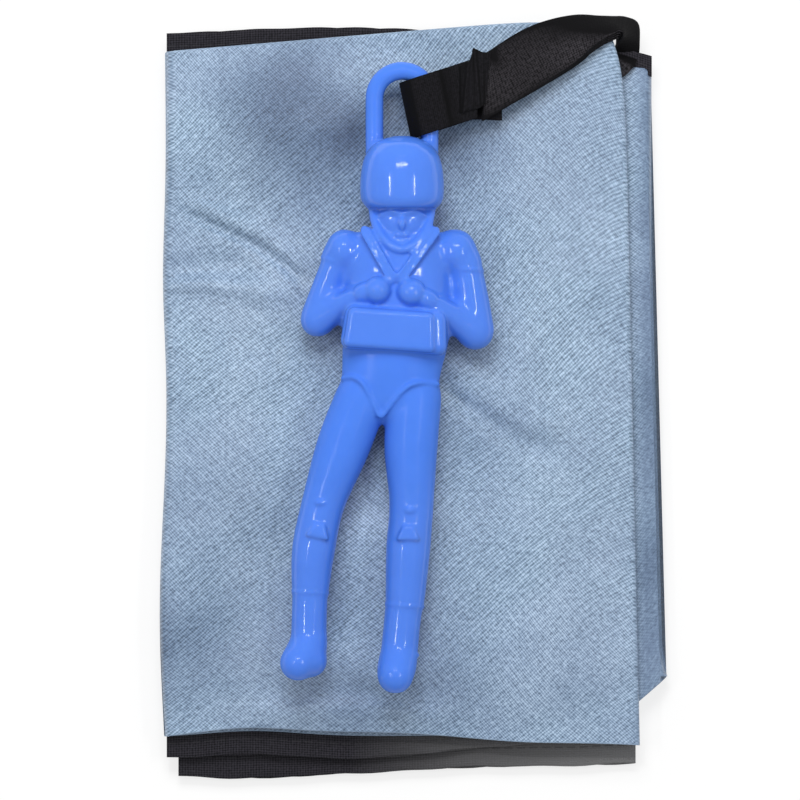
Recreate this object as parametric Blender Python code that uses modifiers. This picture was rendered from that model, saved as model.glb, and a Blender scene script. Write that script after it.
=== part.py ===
"""Hand-thrown toy parachute, folded flat for storage with its paratrooper lying on top.

The canopy is one square of thin nylon folded into three stacked leaves, Z-fashion. Black
ribbons run from its corners to a sleeve round the bail on the paratrooper's helmet.
Lengths are metres, +Z is up, +Y runs towards the paratrooper's bail. Once everything is
built, the footprint's middle is put on the origin, with the packet resting on Z = 0.
"""

import math

import bmesh
import bpy
from mathutils import Matrix, Vector

# Canopy: a square sheet, its folds and the leaves that they make
CANOPY_SIDE = 0.480
FOLDS_ACROSS = 6
FOLDS_DOWN = 4
FOLDED_WIDTH = CANOPY_SIDE / FOLDS_ACROSS
FOLDED_HEIGHT = CANOPY_SIDE / FOLDS_DOWN
LEAF_THICKNESS = 0.0022
LEAF_GAP = 0.0003
TOUCH_GAP = 0.0003
EDGE_ROUND = 0.0012
CREASE_DEPTH = 0.0009
RIM_SHARE = 0.35
RIM_ROW_SHARE = 0.30

# Binding tape round the canopy's edge, as it shows past each leaf
HEM_DEPTH = 0.0031
HEM_THICKNESS = 0.0014
HEM_STEP = 0.0048

# Suspension ribbons: their visible stretch, their turn at the corner and their packed hanks
RIBBON_COUNT = 4
RIBBON_WIDTH = 0.0095
RIBBON_THICKNESS = 0.0003
RIBBON_PITCH = 0.0005
HANK_RUN = 0.0850
HANK_RUNS = 3
HANK_SIDE_GAP = 0.0010
DOME_CLEARANCE = 0.0004

# Paratrooper moulding and its bail
FIGURE_HEIGHT = 0.0919
BAIL_WIRE = 0.0030
BAIL_WIDTH = 0.0121
BAIL_REACH = 0.0108
BAIL_LIFT = 0.0040
BAIL_ROOT = 0.0035
BAIL_X = -0.00215
BAIL_Y = 0.0540

# Sleeve round the bail's right leg, and the seam where the ribbons meet it
SLEEVE_LENGTH = 0.0120
SLEEVE_SLOPE = math.radians(18)
SLEEVE_WIDTH = 0.0092
SEAM_X = 0.01026
SEAM_Y = 0.0512
SEAM_LENGTH = 0.0030
SEAM_THICKNESS = 0.0012
SEAM_GAP = 0.0003

# Places of the leaves' corners, as shares of the folded width and height from the
# packet's middle: top left, top right, bottom right, bottom left
TOP_LEAF_SHARES = ((-0.511, 0.483), (0.408, 0.497), (0.439, -0.479), (-0.514, -0.469))
MIDDLE_LEAF_SHARES = ((-0.520, 0.466), (0.491, 0.455), (0.524, -0.465), (-0.507, -0.469))
BOTTOM_LEAF_SHARES = ((-0.503, 0.458), (0.491, 0.450), (0.458, -0.480), (-0.491, -0.495))

# How far the edges bow: the top edge and the bottom edge up, the right edge out, and how
# far the bottom right corner is turned up, as shares of the folded height or width
TOP_LEAF_BOW_SHARES = (0.025, 0.012, 0.027, 0.0)
MIDDLE_LEAF_BOW_SHARES = (0.030, 0.0, 0.0, 0.080)
BOTTOM_LEAF_BOW_SHARES = (0.020, 0.0, 0.0, 0.0)
TURN_UP_START_SHARE = 0.90
TURN_UP_RUN_SHARE = 0.06

# Creases in the top leaf: start and end as shares of its width and height from the bottom
# left corner, depth as a share of the crease depth, below zero for a ridge, and width as
# a share of the folded width
CREASE_SHARES = (
    (0.04, 0.75, 0.21, 0.68, 1.00, 0.045),
    (0.21, 0.68, 0.31, 0.64, 0.80, 0.045),
    (0.01, 0.65, 0.20, 0.64, -0.70, 0.050),
    (0.58, 0.50, 0.81, 0.40, 0.65, 0.045),
    (0.56, 0.53, 0.83, 0.44, -0.45, 0.050),
    (0.17, 0.56, 0.36, 0.50, 0.45, 0.060),
    (0.10, 0.04, 0.62, 0.05, -0.60, 0.055),
    (0.25, 0.09, 0.60, 0.08, 0.50, 0.045),
    (0.62, 0.93, 0.90, 0.80, -0.35, 0.060),
)

# The dome over the packed ribbons falls to nothing by this share of each half side
DOME_END_SHARE = 0.97

# The strap's stations from the seam to the corner: share of the way along, share of the
# span to the left of it, share of the climb to the seam, and width share, then its tilt
STRAP_STATIONS_SHARES = (
    (0.000, 0.000, 1.000, 1.00, 0.0),
    (0.130, 0.012, 0.900, 1.00, 0.0),
    (0.411, 0.048, 0.620, 1.00, 8.0),
    (0.600, 0.058, 0.460, 0.90, 17.0),
    (0.762, 0.055, 0.340, 0.72, 28.0),
    (0.898, 0.030, 0.170, 0.50, 40.0),
    (1.000, 0.000, 0.000, 0.42, 50.0),
)
# The corner turn's stations, from the strap's end on: shares of the ribbon's width along
# X, Y and Z from that end, then its heading, and its width and tilt as the strap ends
TURN_STATIONS_SHARES = (
    (0.06, 0.00, 0.00, 0.0),
    (0.14, 0.00, 0.00, -8.0),
    (0.25, -0.03, 0.00, -35.0),
    (0.33, -0.12, -0.01, -62.0),
    (0.36, -0.25, -0.01, -88.0),
    (0.35, -0.40, -0.02, -92.0),
    (0.34, -0.50, -0.02, -92.0),
)
CORNER_X = 0.0333
CORNER_Y = 0.0614

# Half of the sleeve's side view: shares of its length from the seam, and of the bail
# wire's radius above the bail's plane
SLEEVE_PROFILE_SHARES = (
    (0.00, 0.72),
    (0.25, 0.72),
    (0.40, 1.02),
    (0.52, 1.38),
    (0.80, 1.38),
    (0.91, 0.98),
    (0.97, 0.50),
)

# Paratrooper: shares of its height. Places are (across from the head's middle, down from
# the helmet's top, up from its back), followed by a radius or by half sizes.
TORSO_SHARES = (
    (-0.004, 0.150, 0.061, 0.036, 0.030),
    (-0.006, 0.171, 0.060, 0.072, 0.040),
    (-0.007, 0.200, 0.058, 0.092, 0.050),
    (-0.010, 0.312, 0.058, 0.097, 0.054),
    (-0.011, 0.376, 0.056, 0.098, 0.052),
    (-0.018, 0.412, 0.055, 0.091, 0.051),
    (-0.022, 0.450, 0.054, 0.089, 0.050),
    (-0.024, 0.480, 0.052, 0.086, 0.047),
    (-0.030, 0.514, 0.050, 0.050, 0.036),
)
LEFT_LEG_SHARES = (
    (-0.072, 0.468, 0.052, 0.048),
    (-0.105, 0.555, 0.052, 0.049),
    (-0.141, 0.658, 0.050, 0.040),
    (-0.159, 0.742, 0.046, 0.040),
    (-0.165, 0.818, 0.043, 0.0345),
)
RIGHT_LEG_SHARES = (
    (0.024, 0.468, 0.052, 0.048),
    (0.016, 0.555, 0.052, 0.049),
    (0.017, 0.658, 0.050, 0.041),
    (0.011, 0.742, 0.046, 0.041),
    (0.005, 0.838, 0.043, 0.0362),
)
LEFT_BOOT_SHARES = ((-0.1655, 0.830, 0.043, 0.0330), (-0.1680, 0.905, 0.040, 0.0330))
RIGHT_BOOT_SHARES = ((0.0025, 0.850, 0.043, 0.0342), (-0.0050, 0.927, 0.040, 0.0342))
LEFT_FOOT_SHARES = (
    (-0.166, 0.908, 0.042, 0.0345),
    (-0.176, 0.930, 0.052, 0.0360),
    (-0.187, 0.945, 0.066, 0.0340),
)
RIGHT_FOOT_SHARES = (
    (-0.005, 0.930, 0.042, 0.0350),
    (-0.009, 0.950, 0.052, 0.0360),
    (-0.012, 0.968, 0.066, 0.0340),
)
LEFT_ARM_SHARES = (
    (-0.0980, 0.200, 0.056, 0.0330),
    (-0.1195, 0.232, 0.054, 0.0275),
    (-0.1360, 0.272, 0.050, 0.0270),
    (-0.1515, 0.328, 0.046, 0.0330),
)
LEFT_FOREARM_SHARES = (
    (-0.1515, 0.3300, 0.048, 0.0325),
    (-0.1030, 0.3000, 0.078, 0.0205),
    (-0.0620, 0.2795, 0.103, 0.0165),
)
RIGHT_ARM_SHARES = (
    (0.0900, 0.2000, 0.056, 0.0340),
    (0.1130, 0.2365, 0.054, 0.0300),
    (0.1215, 0.2800, 0.050, 0.0330),
    (0.1310, 0.3490, 0.046, 0.0360),
)
RIGHT_FOREARM_SHARES = (
    (0.1310, 0.3500, 0.048, 0.0355),
    (0.0860, 0.3200, 0.078, 0.0225),
    (0.0400, 0.2905, 0.103, 0.0165),
)
LEFT_SLEEVE_SHARES = ((-0.1040, 0.2000, 0.056, 0.0335), (-0.1165, 0.2175, 0.0545, 0.0300))
RIGHT_SLEEVE_SHARES = ((0.0980, 0.2030, 0.056, 0.0355), (0.1135, 0.2300, 0.0545, 0.0325))
LEFT_CUFF_SHARES = ((-0.0700, 0.2830, 0.099, 0.0190), (-0.0620, 0.2795, 0.103, 0.0190))
RIGHT_CUFF_SHARES = ((0.0480, 0.2955, 0.099, 0.0190), (0.0400, 0.2905, 0.103, 0.0190))
LEFT_STRAP_SHARES = (
    (-0.0670, 0.1690, 0.094, 0.0085),
    (-0.0430, 0.2120, 0.108, 0.0085),
    (-0.0180, 0.2560, 0.112, 0.0085),
)
RIGHT_STRAP_SHARES = (
    (0.0600, 0.1700, 0.094, 0.0085),
    (0.0300, 0.2120, 0.108, 0.0085),
    (-0.0020, 0.2555, 0.112, 0.0085),
)
LEFT_GROIN_SHARES = (
    (-0.1060, 0.4340, 0.074, 0.0045),
    (-0.0860, 0.4330, 0.091, 0.0045),
    (-0.0660, 0.4500, 0.099, 0.0045),
    (-0.0410, 0.5020, 0.092, 0.0045),
)
RIGHT_GROIN_SHARES = (
    (0.0640, 0.4450, 0.074, 0.0045),
    (0.0250, 0.4435, 0.099, 0.0045),
    (-0.0020, 0.4600, 0.101, 0.0045),
    (-0.0360, 0.5030, 0.092, 0.0045),
)
LEFT_SHIN_SHARES = ((-0.1700, 0.722, 0.080, 0.0055), (-0.1765, 0.812, 0.0735, 0.0055))
LEFT_CALF_SHARES = ((-0.1450, 0.700, 0.081, 0.0055), (-0.1510, 0.812, 0.0735, 0.0055))
RIGHT_SHIN_SHARES = ((-0.0015, 0.735, 0.082, 0.0055), (-0.0070, 0.832, 0.0750, 0.0055))
RIGHT_CALF_SHARES = ((0.0240, 0.735, 0.082, 0.0055), (0.0180, 0.832, 0.0750, 0.0055))
CHIN_GUARD_SHARES = (
    (-0.0515, 0.128, 0.070, 0.0095),
    (-0.0470, 0.158, 0.086, 0.0090),
    (-0.0360, 0.181, 0.098, 0.0085),
    (-0.0190, 0.198, 0.104, 0.0085),
    (0.0000, 0.204, 0.106, 0.0085),
    (0.0190, 0.198, 0.104, 0.0085),
    (0.0360, 0.181, 0.098, 0.0085),
    (0.0470, 0.158, 0.086, 0.0090),
    (0.0515, 0.128, 0.070, 0.0095),
)
BROW_SHARES = (
    (-0.036, 0.143, 0.091, 0.0060),
    (-0.018, 0.136, 0.102, 0.0060),
    (0.000, 0.140, 0.106, 0.0055),
    (0.018, 0.136, 0.102, 0.0060),
    (0.036, 0.143, 0.091, 0.0060),
)
# Rounded forms: place, then half sizes across, down and up
FACE_SHARES = (0.000, 0.150, 0.060, 0.052, 0.054, 0.047)
NOSE_SHARES = (0.000, 0.157, 0.106, 0.0070, 0.0140, 0.0095)
CHIN_SHARES = (0.000, 0.191, 0.092, 0.0180, 0.0120, 0.0130)
LEFT_FIST_SHARES = (-0.0430, 0.2755, 0.110, 0.0225, 0.0225, 0.0210)
RIGHT_FIST_SHARES = (0.0165, 0.2790, 0.110, 0.0235, 0.0225, 0.0210)
LEFT_BUMP_SHARES = (-0.146, 0.6575, 0.086, 0.0110, 0.0070, 0.0070)
RIGHT_BUMP_SHARES = (0.0145, 0.671, 0.0865, 0.0110, 0.0070, 0.0070)
LEFT_HEEL_SHARES = (-0.165, 0.941, 0.050, 0.0320, 0.0320, 0.0350)
RIGHT_HEEL_SHARES = (0.000, 0.952, 0.046, 0.0270, 0.0300, 0.0360)
LEFT_SHOULDER_SHARES = (-0.104, 0.204, 0.056, 0.0340, 0.0380, 0.0380)
RIGHT_SHOULDER_SHARES = (0.098, 0.206, 0.056, 0.0360, 0.0400, 0.0380)
# The reserve pack and the raised panel on its front
PACK_SHARES = (-0.013, 0.347, 0.086, 0.0970, 0.0410, 0.0340)
PACK_CORNER_SHARE = 0.018
PANEL_SHARES = (-0.021, 0.348, 0.110, 0.0830, 0.0360, 0.0200)
PANEL_CORNER_SHARE = 0.010
PACK_TAPER_SHARE = 0.92
# Knee pads
LEFT_KNEE_SHARES = (-0.150, 0.708, 0.083, 0.0220, 0.0140, 0.0090)
RIGHT_KNEE_SHARES = (0.011, 0.712, 0.084, 0.0220, 0.0140, 0.0090)
KNEE_CORNER_SHARE = 0.005
KNEE_TAPER_SHARE = 0.45
LEFT_KNEE_TURN = -12.0
PACK_TURN = -4.0
STRAP_FLAT_SHARE = 0.55

# Helmet: half of its outline from the crown down to inside the brim, as shares of the
# figure's height out from its middle and down from its top
HELMET_SHARES = (
    (0.0000, 0.000),
    (0.0300, 0.004),
    (0.0480, 0.013),
    (0.0600, 0.025),
    (0.0680, 0.039),
    (0.0735, 0.061),
    (0.0755, 0.086),
    (0.0748, 0.109),
    (0.0705, 0.121),
    (0.0620, 0.129),
    (0.0540, 0.127),
    (0.0000, 0.126),
)
HELMET_DEPTH_SHARE = 0.90
HELMET_MIDDLE_SHARE = 0.069

LIMBS = (
    ("left_leg", LEFT_LEG_SHARES),
    ("right_leg", RIGHT_LEG_SHARES),
    ("left_boot", LEFT_BOOT_SHARES),
    ("right_boot", RIGHT_BOOT_SHARES),
    ("left_foot", LEFT_FOOT_SHARES),
    ("right_foot", RIGHT_FOOT_SHARES),
    ("left_arm", LEFT_ARM_SHARES),
    ("right_arm", RIGHT_ARM_SHARES),
    ("left_sleeve", LEFT_SLEEVE_SHARES),
    ("right_sleeve", RIGHT_SLEEVE_SHARES),
    ("left_forearm", LEFT_FOREARM_SHARES),
    ("right_forearm", RIGHT_FOREARM_SHARES),
    ("left_cuff", LEFT_CUFF_SHARES),
    ("right_cuff", RIGHT_CUFF_SHARES),
    ("left_groin", LEFT_GROIN_SHARES),
    ("right_groin", RIGHT_GROIN_SHARES),
    ("left_shin", LEFT_SHIN_SHARES),
    ("left_calf", LEFT_CALF_SHARES),
    ("right_shin", RIGHT_SHIN_SHARES),
    ("right_calf", RIGHT_CALF_SHARES),
    ("chin_guard", CHIN_GUARD_SHARES),
    ("brow", BROW_SHARES),
)
STRAPS = (
    ("left_strap", LEFT_STRAP_SHARES),
    ("right_strap", RIGHT_STRAP_SHARES),
)
BALLS = (
    ("face", FACE_SHARES),
    ("nose", NOSE_SHARES),
    ("chin", CHIN_SHARES),
    ("left_fist", LEFT_FIST_SHARES),
    ("right_fist", RIGHT_FIST_SHARES),
    ("left_bump", LEFT_BUMP_SHARES),
    ("right_bump", RIGHT_BUMP_SHARES),
    ("left_heel", LEFT_HEEL_SHARES),
    ("right_heel", RIGHT_HEEL_SHARES),
    ("left_shoulder", LEFT_SHOULDER_SHARES),
    ("right_shoulder", RIGHT_SHOULDER_SHARES),
)
BOXES = (
    ("pack", PACK_SHARES, PACK_CORNER_SHARE, PACK_TAPER_SHARE, PACK_TURN),
    ("panel", PANEL_SHARES, PANEL_CORNER_SHARE, PACK_TAPER_SHARE, PACK_TURN),
    ("left_knee", LEFT_KNEE_SHARES, KNEE_CORNER_SHARE, KNEE_TAPER_SHARE, LEFT_KNEE_TURN),
    ("right_knee", RIGHT_KNEE_SHARES, KNEE_CORNER_SHARE, KNEE_TAPER_SHARE, 0.0),
)

# Counts and tolerances of the shapes
BODY_SIDES = 20
LIMB_RESOLUTION = 5
FINE_RADIUS_SHARE = 0.017
BALL_COLUMNS = 18
BALL_ROWS = 12
SMALL_BALL_COLUMNS = 12
SMALL_BALL_ROWS = 8
LIMB_STEPS = 3
SQUARENESS = 2.4
BAIL_STEPS = 12
WELD = 0.00001
EMPTY_SIZE = 0.010


def clear_scene():
    """Removes whatever the scene holds before the model is made."""
    for thing in list(bpy.data.objects):
        bpy.data.objects.remove(thing, do_unlink=True)


def new_collection(name):
    made = bpy.data.collections.new(name)
    bpy.context.scene.collection.children.link(made)
    return made


def new_material(name, colour, roughness):
    made = bpy.data.materials.new(name)
    made.use_nodes = True
    shader = made.node_tree.nodes["Principled BSDF"]
    shader.inputs["Base Color"].default_value = (*colour, 1.0)
    shader.inputs["Roughness"].default_value = roughness
    shader.inputs["Metallic"].default_value = 0.0
    made.diffuse_color = (*colour, 1.0)
    return made


def new_object(name, mesh, collection, material):
    made = bpy.data.objects.new(name, mesh)
    collection.objects.link(made)
    if material:
        mesh.materials.append(material)
    return made


def mesh_from(bm, name):
    """Turns a bmesh into a mesh whose faces all point out."""
    bmesh.ops.recalc_face_normals(bm, faces=bm.faces)
    mesh = bpy.data.meshes.new(name)
    bm.to_mesh(mesh)
    bm.free()
    return mesh


def smooth(mesh, angle=math.radians(35)):
    mesh.shade_smooth()
    mesh.set_sharp_from_angle(angle=angle)


def lerp(a, b, share):
    return a + (b - a) * share


def through(points, steps):
    """Points on a smooth curve through the given ones, each a tuple of like length."""
    found = []
    for i in range(len(points) - 1):
        before = points[max(i - 1, 0)]
        start = points[i]
        end = points[i + 1]
        after = points[min(i + 2, len(points) - 1)]
        for step in range(steps):
            s = step / steps
            found.append(tuple(
                0.5 * (2 * b + (c - a) * s + (2 * a - 5 * b + 4 * c - d) * s * s
                       + (3 * b - a - 3 * c + d) * s ** 3)
                for a, b, c, d in zip(before, start, end, after)
            ))
    found.append(tuple(points[-1]))
    return found


def leaf_point(corner_shares, bow_shares, u, v):
    """Where the shares u (left to right) and v (bottom to top) of a leaf lie, in plan."""
    top_left, top_right, bottom_right, bottom_left = corner_shares
    top_bow, bottom_bow, right_bow, turn_up = bow_shares
    x = lerp(lerp(bottom_left[0], bottom_right[0], u), lerp(top_left[0], top_right[0], u), v)
    y = lerp(lerp(bottom_left[1], bottom_right[1], u), lerp(top_left[1], top_right[1], u), v)
    hump = math.sin(math.pi * u)
    x += right_bow * u * (1 - v ** 10)
    y += top_bow * v * hump + bottom_bow * (1 - v) * hump
    along = min(max((u - TURN_UP_START_SHARE) / TURN_UP_RUN_SHARE, 0.0), 1.0)
    y += turn_up * (1 - v) * along
    return x * FOLDED_WIDTH, y * FOLDED_HEIGHT


def edge_shares(cells, length):
    """Shares along a leaf's side: two rows near each end, where it rounds, and even cells."""
    near = EDGE_ROUND / length
    middle = [near + (1 - 2 * near) * i / cells for i in range(cells + 1)]
    return [0.0, RIM_ROW_SHARE * near] + middle + [1 - RIM_ROW_SHARE * near, 1.0]


def half_thickness(u, v):
    """Half of a leaf's thickness at shares u and v, rounded towards its edges."""
    inset = min(u * FOLDED_WIDTH, (1 - u) * FOLDED_WIDTH, v * FOLDED_HEIGHT, (1 - v) * FOLDED_HEIGHT)
    full = LEAF_THICKNESS / 2
    if inset >= EDGE_ROUND:
        return full
    missing = 1 - inset / EDGE_ROUND
    return full * (RIM_SHARE + (1 - RIM_SHARE) * math.sqrt(1 - missing * missing))


def falling(share, start, end):
    """1 up to start, 0 from end on, and a smooth slope between."""
    s = min(max((share - start) / (end - start), 0.0), 1.0)
    return 0.5 + 0.5 * math.cos(math.pi * s)


def stack_height():
    """Height of all the ribbons lying on each other."""
    return (RIBBON_COUNT - 1) * RIBBON_PITCH + RIBBON_THICKNESS


def dome_height(x, y):
    """How far the top leaf is lifted over the ribbons packed under it."""
    across = HANK_RUNS * (RIBBON_WIDTH + HANK_SIDE_GAP)
    half_width = FOLDED_WIDTH / 2
    half_height = FOLDED_HEIGHT / 2
    over = falling(abs(x) / half_width, across / 2 / half_width, DOME_END_SHARE)
    along = falling(abs(y) / half_height, (HANK_RUN / 2 + RIBBON_PITCH) / half_height, DOME_END_SHARE)
    return (stack_height() + DOME_CLEARANCE) * over * along


def crease_height(u, v):
    """What the creases take from or add to the top leaf's surface at shares u and v."""
    x = u * FOLDED_WIDTH
    y = v * FOLDED_HEIGHT
    height = 0.0
    for start_u, start_v, end_u, end_v, depth_share, width_share in CREASE_SHARES:
        start = Vector((start_u * FOLDED_WIDTH, start_v * FOLDED_HEIGHT))
        run = Vector((end_u * FOLDED_WIDTH, end_v * FOLDED_HEIGHT)) - start
        along = min(max((Vector((x, y)) - start).dot(run) / run.length_squared, 0.0), 1.0)
        away = (Vector((x, y)) - start - run * along).length / (width_share * FOLDED_WIDTH)
        height -= CREASE_DEPTH * depth_share * math.exp(-away * away)
    return height


def make_leaf(name, corner_shares, bow_shares, base, cells, draped, collection, material):
    """One leaf: a closed sheet of plies with rounded rims. The draped one has its creases."""
    columns = edge_shares(cells[0], FOLDED_WIDTH)
    rows = edge_shares(cells[1], FOLDED_HEIGHT)
    bm = bmesh.new()
    bmesh.ops.create_grid(bm, x_segments=len(columns) - 1, y_segments=len(rows) - 1, size=0.5)
    shares = {}
    for vertex in bm.verts:
        column = round((vertex.co.x + 0.5) * (len(columns) - 1))
        row = round((vertex.co.y + 0.5) * (len(rows) - 1))
        shares[vertex] = (columns[column], rows[row])
    lower = list(bm.verts)
    doubled = bmesh.ops.duplicate(bm, geom=bm.verts[:] + bm.edges[:] + bm.faces[:])
    pairs = doubled["vert_map"]
    upper = [(pairs[vertex], shares[vertex]) for vertex in lower]
    for vertices, side in (([(vertex, shares[vertex]) for vertex in lower], -1), (upper, 1)):
        for vertex, (u, v) in vertices:
            x, y = leaf_point(corner_shares, bow_shares, u, v)
            half = half_thickness(u, v)
            z = base + LEAF_THICKNESS / 2 + side * half
            if draped:
                z += dome_height(x, y)
            if draped and side > 0:
                crown = base + dome_height(0, 0) + LEAF_THICKNESS
                calm = half / (LEAF_THICKNESS / 2)
                z = min(z + crease_height(u, v) * calm, crown)
            vertex.co = (x, y, z)
    rims = [edge for edge in bm.edges if edge.is_boundary]
    bmesh.ops.bridge_loops(bm, edges=rims)
    mesh = mesh_from(bm, name)
    smooth(mesh, math.radians(50))
    return new_object(name, mesh, collection, material)


def make_band(name, stations, thickness, lift, collection, material):
    """A flat strip through stations of (middle, half width as a vector), lifted off them."""
    middles = [Vector(middle) for middle, _ in stations]
    bm = bmesh.new()
    rings = []
    for i, (middle, half) in enumerate(stations):
        ahead = middles[min(i + 1, len(middles) - 1)]
        behind = middles[max(i - 1, 0)]
        normal = (ahead - behind).cross(Vector(half)).normalized()
        corners = []
        for across, up in ((-1, -0.5), (1, -0.5), (1, 0.5), (-1, 0.5)):
            place = Vector(middle) + Vector(half) * across + normal * (lift + up * thickness)
            corners.append(bm.verts.new(place))
        rings.append(corners)
    # Every face across the band is split the same way, so stacked bands stay parallel
    for (a, b, c, d), (e, f, g, h) in zip(rings, rings[1:]):
        for corners in ((a, b, f), (a, f, e), (b, c, g), (b, g, f)):
            bm.faces.new(corners)
        for corners in ((d, g, c), (d, h, g), (d, a, e), (d, e, h)):
            bm.faces.new(corners)
    bm.faces.new(rings[0])
    bm.faces.new(rings[-1])
    mesh = mesh_from(bm, name)
    smooth(mesh)
    return new_object(name, mesh, collection, material)


def make_hem(name, corner_shares, bow_shares, v, span_shares, middle_z, collection, material):
    """Binding tape that shows past a leaf's top edge (v = 1) or bottom edge (v = 0)."""
    outward = 1 if v else -1
    steps = max(2, round((span_shares[1] - span_shares[0]) * FOLDED_WIDTH / HEM_STEP))
    stations = []
    for i in range(steps + 1):
        u = lerp(span_shares[0], span_shares[1], i / steps)
        x, y = leaf_point(corner_shares, bow_shares, u, v)
        middle_y = y + outward * (TOUCH_GAP + HEM_DEPTH / 2)
        stations.append(((x, middle_y, middle_z), (0, HEM_DEPTH / 2, 0)))
    return make_band(name, stations, HEM_THICKNESS, 0, collection, material)


def make_hank(name, base, collection, material):
    """The packed length of one ribbon: runs along Y, side by side, turned back at the ends."""
    half = RIBBON_WIDTH / 2
    z = base + RIBBON_THICKNESS / 2
    step = RIBBON_WIDTH + HANK_SIDE_GAP
    stations = []
    for run in range(HANK_RUNS):
        x = (run - (HANK_RUNS - 1) / 2) * step
        way = 1 if run % 2 == 0 else -1
        first = -way * (HANK_RUN / 2 - (half if run else 0))
        last = way * (HANK_RUN / 2 - (half if run < HANK_RUNS - 1 else 0))
        stations.append(((x, first, z), (-way * half, half if run else 0, 0)))
        stations.append(((x, last, z), (-way * half, half if run < HANK_RUNS - 1 else 0, 0)))
    return make_band(name, stations, RIBBON_THICKNESS, 0, collection, material)


def tilted_half(heading, width, tilt):
    """Half of a ribbon's width: to the left of its heading, its outer edge tilted down."""
    flat = width / 2 * math.cos(tilt)
    return (-math.sin(heading) * flat, math.cos(heading) * flat, -width / 2 * math.sin(tilt))


def corner_middle(top_base):
    """Middle of the ribbon stack where it leaves the packet's top right corner."""
    width = RIBBON_WIDTH * STRAP_STATIONS_SHARES[-1][3]
    tilt = math.radians(STRAP_STATIONS_SHARES[-1][4])
    rise = width / 2 * math.sin(tilt) + stack_height() / 2 * math.cos(tilt)
    return Vector((CORNER_X, CORNER_Y, top_base + TOUCH_GAP + rise)), rise


def strap_stations(seam, corner):
    """Stations of the stack's middle from the seam at the sleeve to the packet's corner."""
    span = (corner - seam).xy
    left = Vector((-span.y, span.x))
    dense = through(STRAP_STATIONS_SHARES, 3)
    middles = []
    for along, aside, climb, _, _ in dense:
        plan = seam.xy + span * along + left * aside
        middles.append(Vector((plan.x, plan.y, lerp(corner.z, seam.z, climb))))
    stations = []
    for i, (_, _, _, width_share, tilt_degrees) in enumerate(dense):
        ahead = middles[min(i + 1, len(middles) - 1)]
        run = ahead - middles[max(i - 1, 0)]
        heading = math.atan2(run.y, run.x)
        tilt = math.radians(tilt_degrees)
        width = RIBBON_WIDTH * width_share
        half = Vector(tilted_half(heading, width, tilt))
        upright = Vector((0, half.y / math.cos(heading) ** 2, half.z))
        from_end = min((middles[i] - middles[0]).length, (middles[i] - middles[-1]).length)
        half = upright.lerp(half, min(from_end / (RIBBON_WIDTH / 2), 1.0))
        stations.append((tuple(middles[i]), tuple(half)))
    return stations


def turn_stations(corner):
    """Stations of the stack's middle round the packet's corner, from the strap's end on."""
    width = RIBBON_WIDTH * STRAP_STATIONS_SHARES[-1][3]
    tilt = math.radians(STRAP_STATIONS_SHARES[-1][4])
    stations = []
    for share_x, share_y, share_z, heading_degrees in TURN_STATIONS_SHARES:
        middle = corner + Vector((share_x, share_y, share_z)) * RIBBON_WIDTH
        half = tilted_half(math.radians(heading_degrees), width, tilt)
        stations.append((tuple(middle), half))
    return stations


def sleeve_stations(seam):
    """Stations of the sleeve's ribbon: out under the bail's leg, round, and back over it."""
    out = Vector((-math.cos(SLEEVE_SLOPE), -math.sin(SLEEVE_SLOPE), 0))
    square = Vector((-math.sin(SLEEVE_SLOPE), math.cos(SLEEVE_SLOPE), 0)) * SLEEVE_WIDTH / 2
    upright = Vector((0, SLEEVE_WIDTH / 2 / math.cos(SLEEVE_SLOPE), 0))
    below = [(along, -height) for along, height in SLEEVE_PROFILE_SHARES]
    above = [(along, height) for along, height in reversed(SLEEVE_PROFILE_SHARES)]
    stations = []
    for along, height in through(below + [(1.0, 0.0)] + above, 2):
        middle = seam + out * along * SLEEVE_LENGTH + Vector((0, 0, height * BAIL_WIRE / 2))
        blend = min(along * SLEEVE_LENGTH / SEAM_LENGTH, 1.0)
        stations.append((tuple(middle), tuple(upright.lerp(square, blend))))
    return stations


def seam_stations(seam):
    """Stations of the ribbons' sewn ends between the sleeve's two ends."""
    out = Vector((-math.cos(SLEEVE_SLOPE), -math.sin(SLEEVE_SLOPE), 0))
    half = (0, SLEEVE_WIDTH / 2, 0)
    return [(tuple(seam), half), (tuple(seam + out * SEAM_LENGTH), half)]


def figure_place(shares, back):
    """World place of a point given in shares of the figure's height."""
    across, down, up = shares[:3]
    return Vector((
        BAIL_X + across * FIGURE_HEIGHT,
        BAIL_Y - BAIL_REACH - down * FIGURE_HEIGHT,
        back + up * FIGURE_HEIGHT,
    ))


def round_ends(points):
    """Adds shrinking points at both ends of a tapered tube, so that it ends in domes."""
    def dome(end, inner):
        middle = Vector(end[:3])
        out = (middle - Vector(inner[:3])).normalized()
        radius = end[3]
        for degrees in (28, 52, 74):
            turn = math.radians(degrees)
            place = middle + out * radius * math.sin(turn)
            yield (*place, radius * math.cos(turn))

    start = list(dome(points[0], points[1]))
    end = list(dome(points[-1], points[-2]))
    return start[::-1] + points + end


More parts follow.
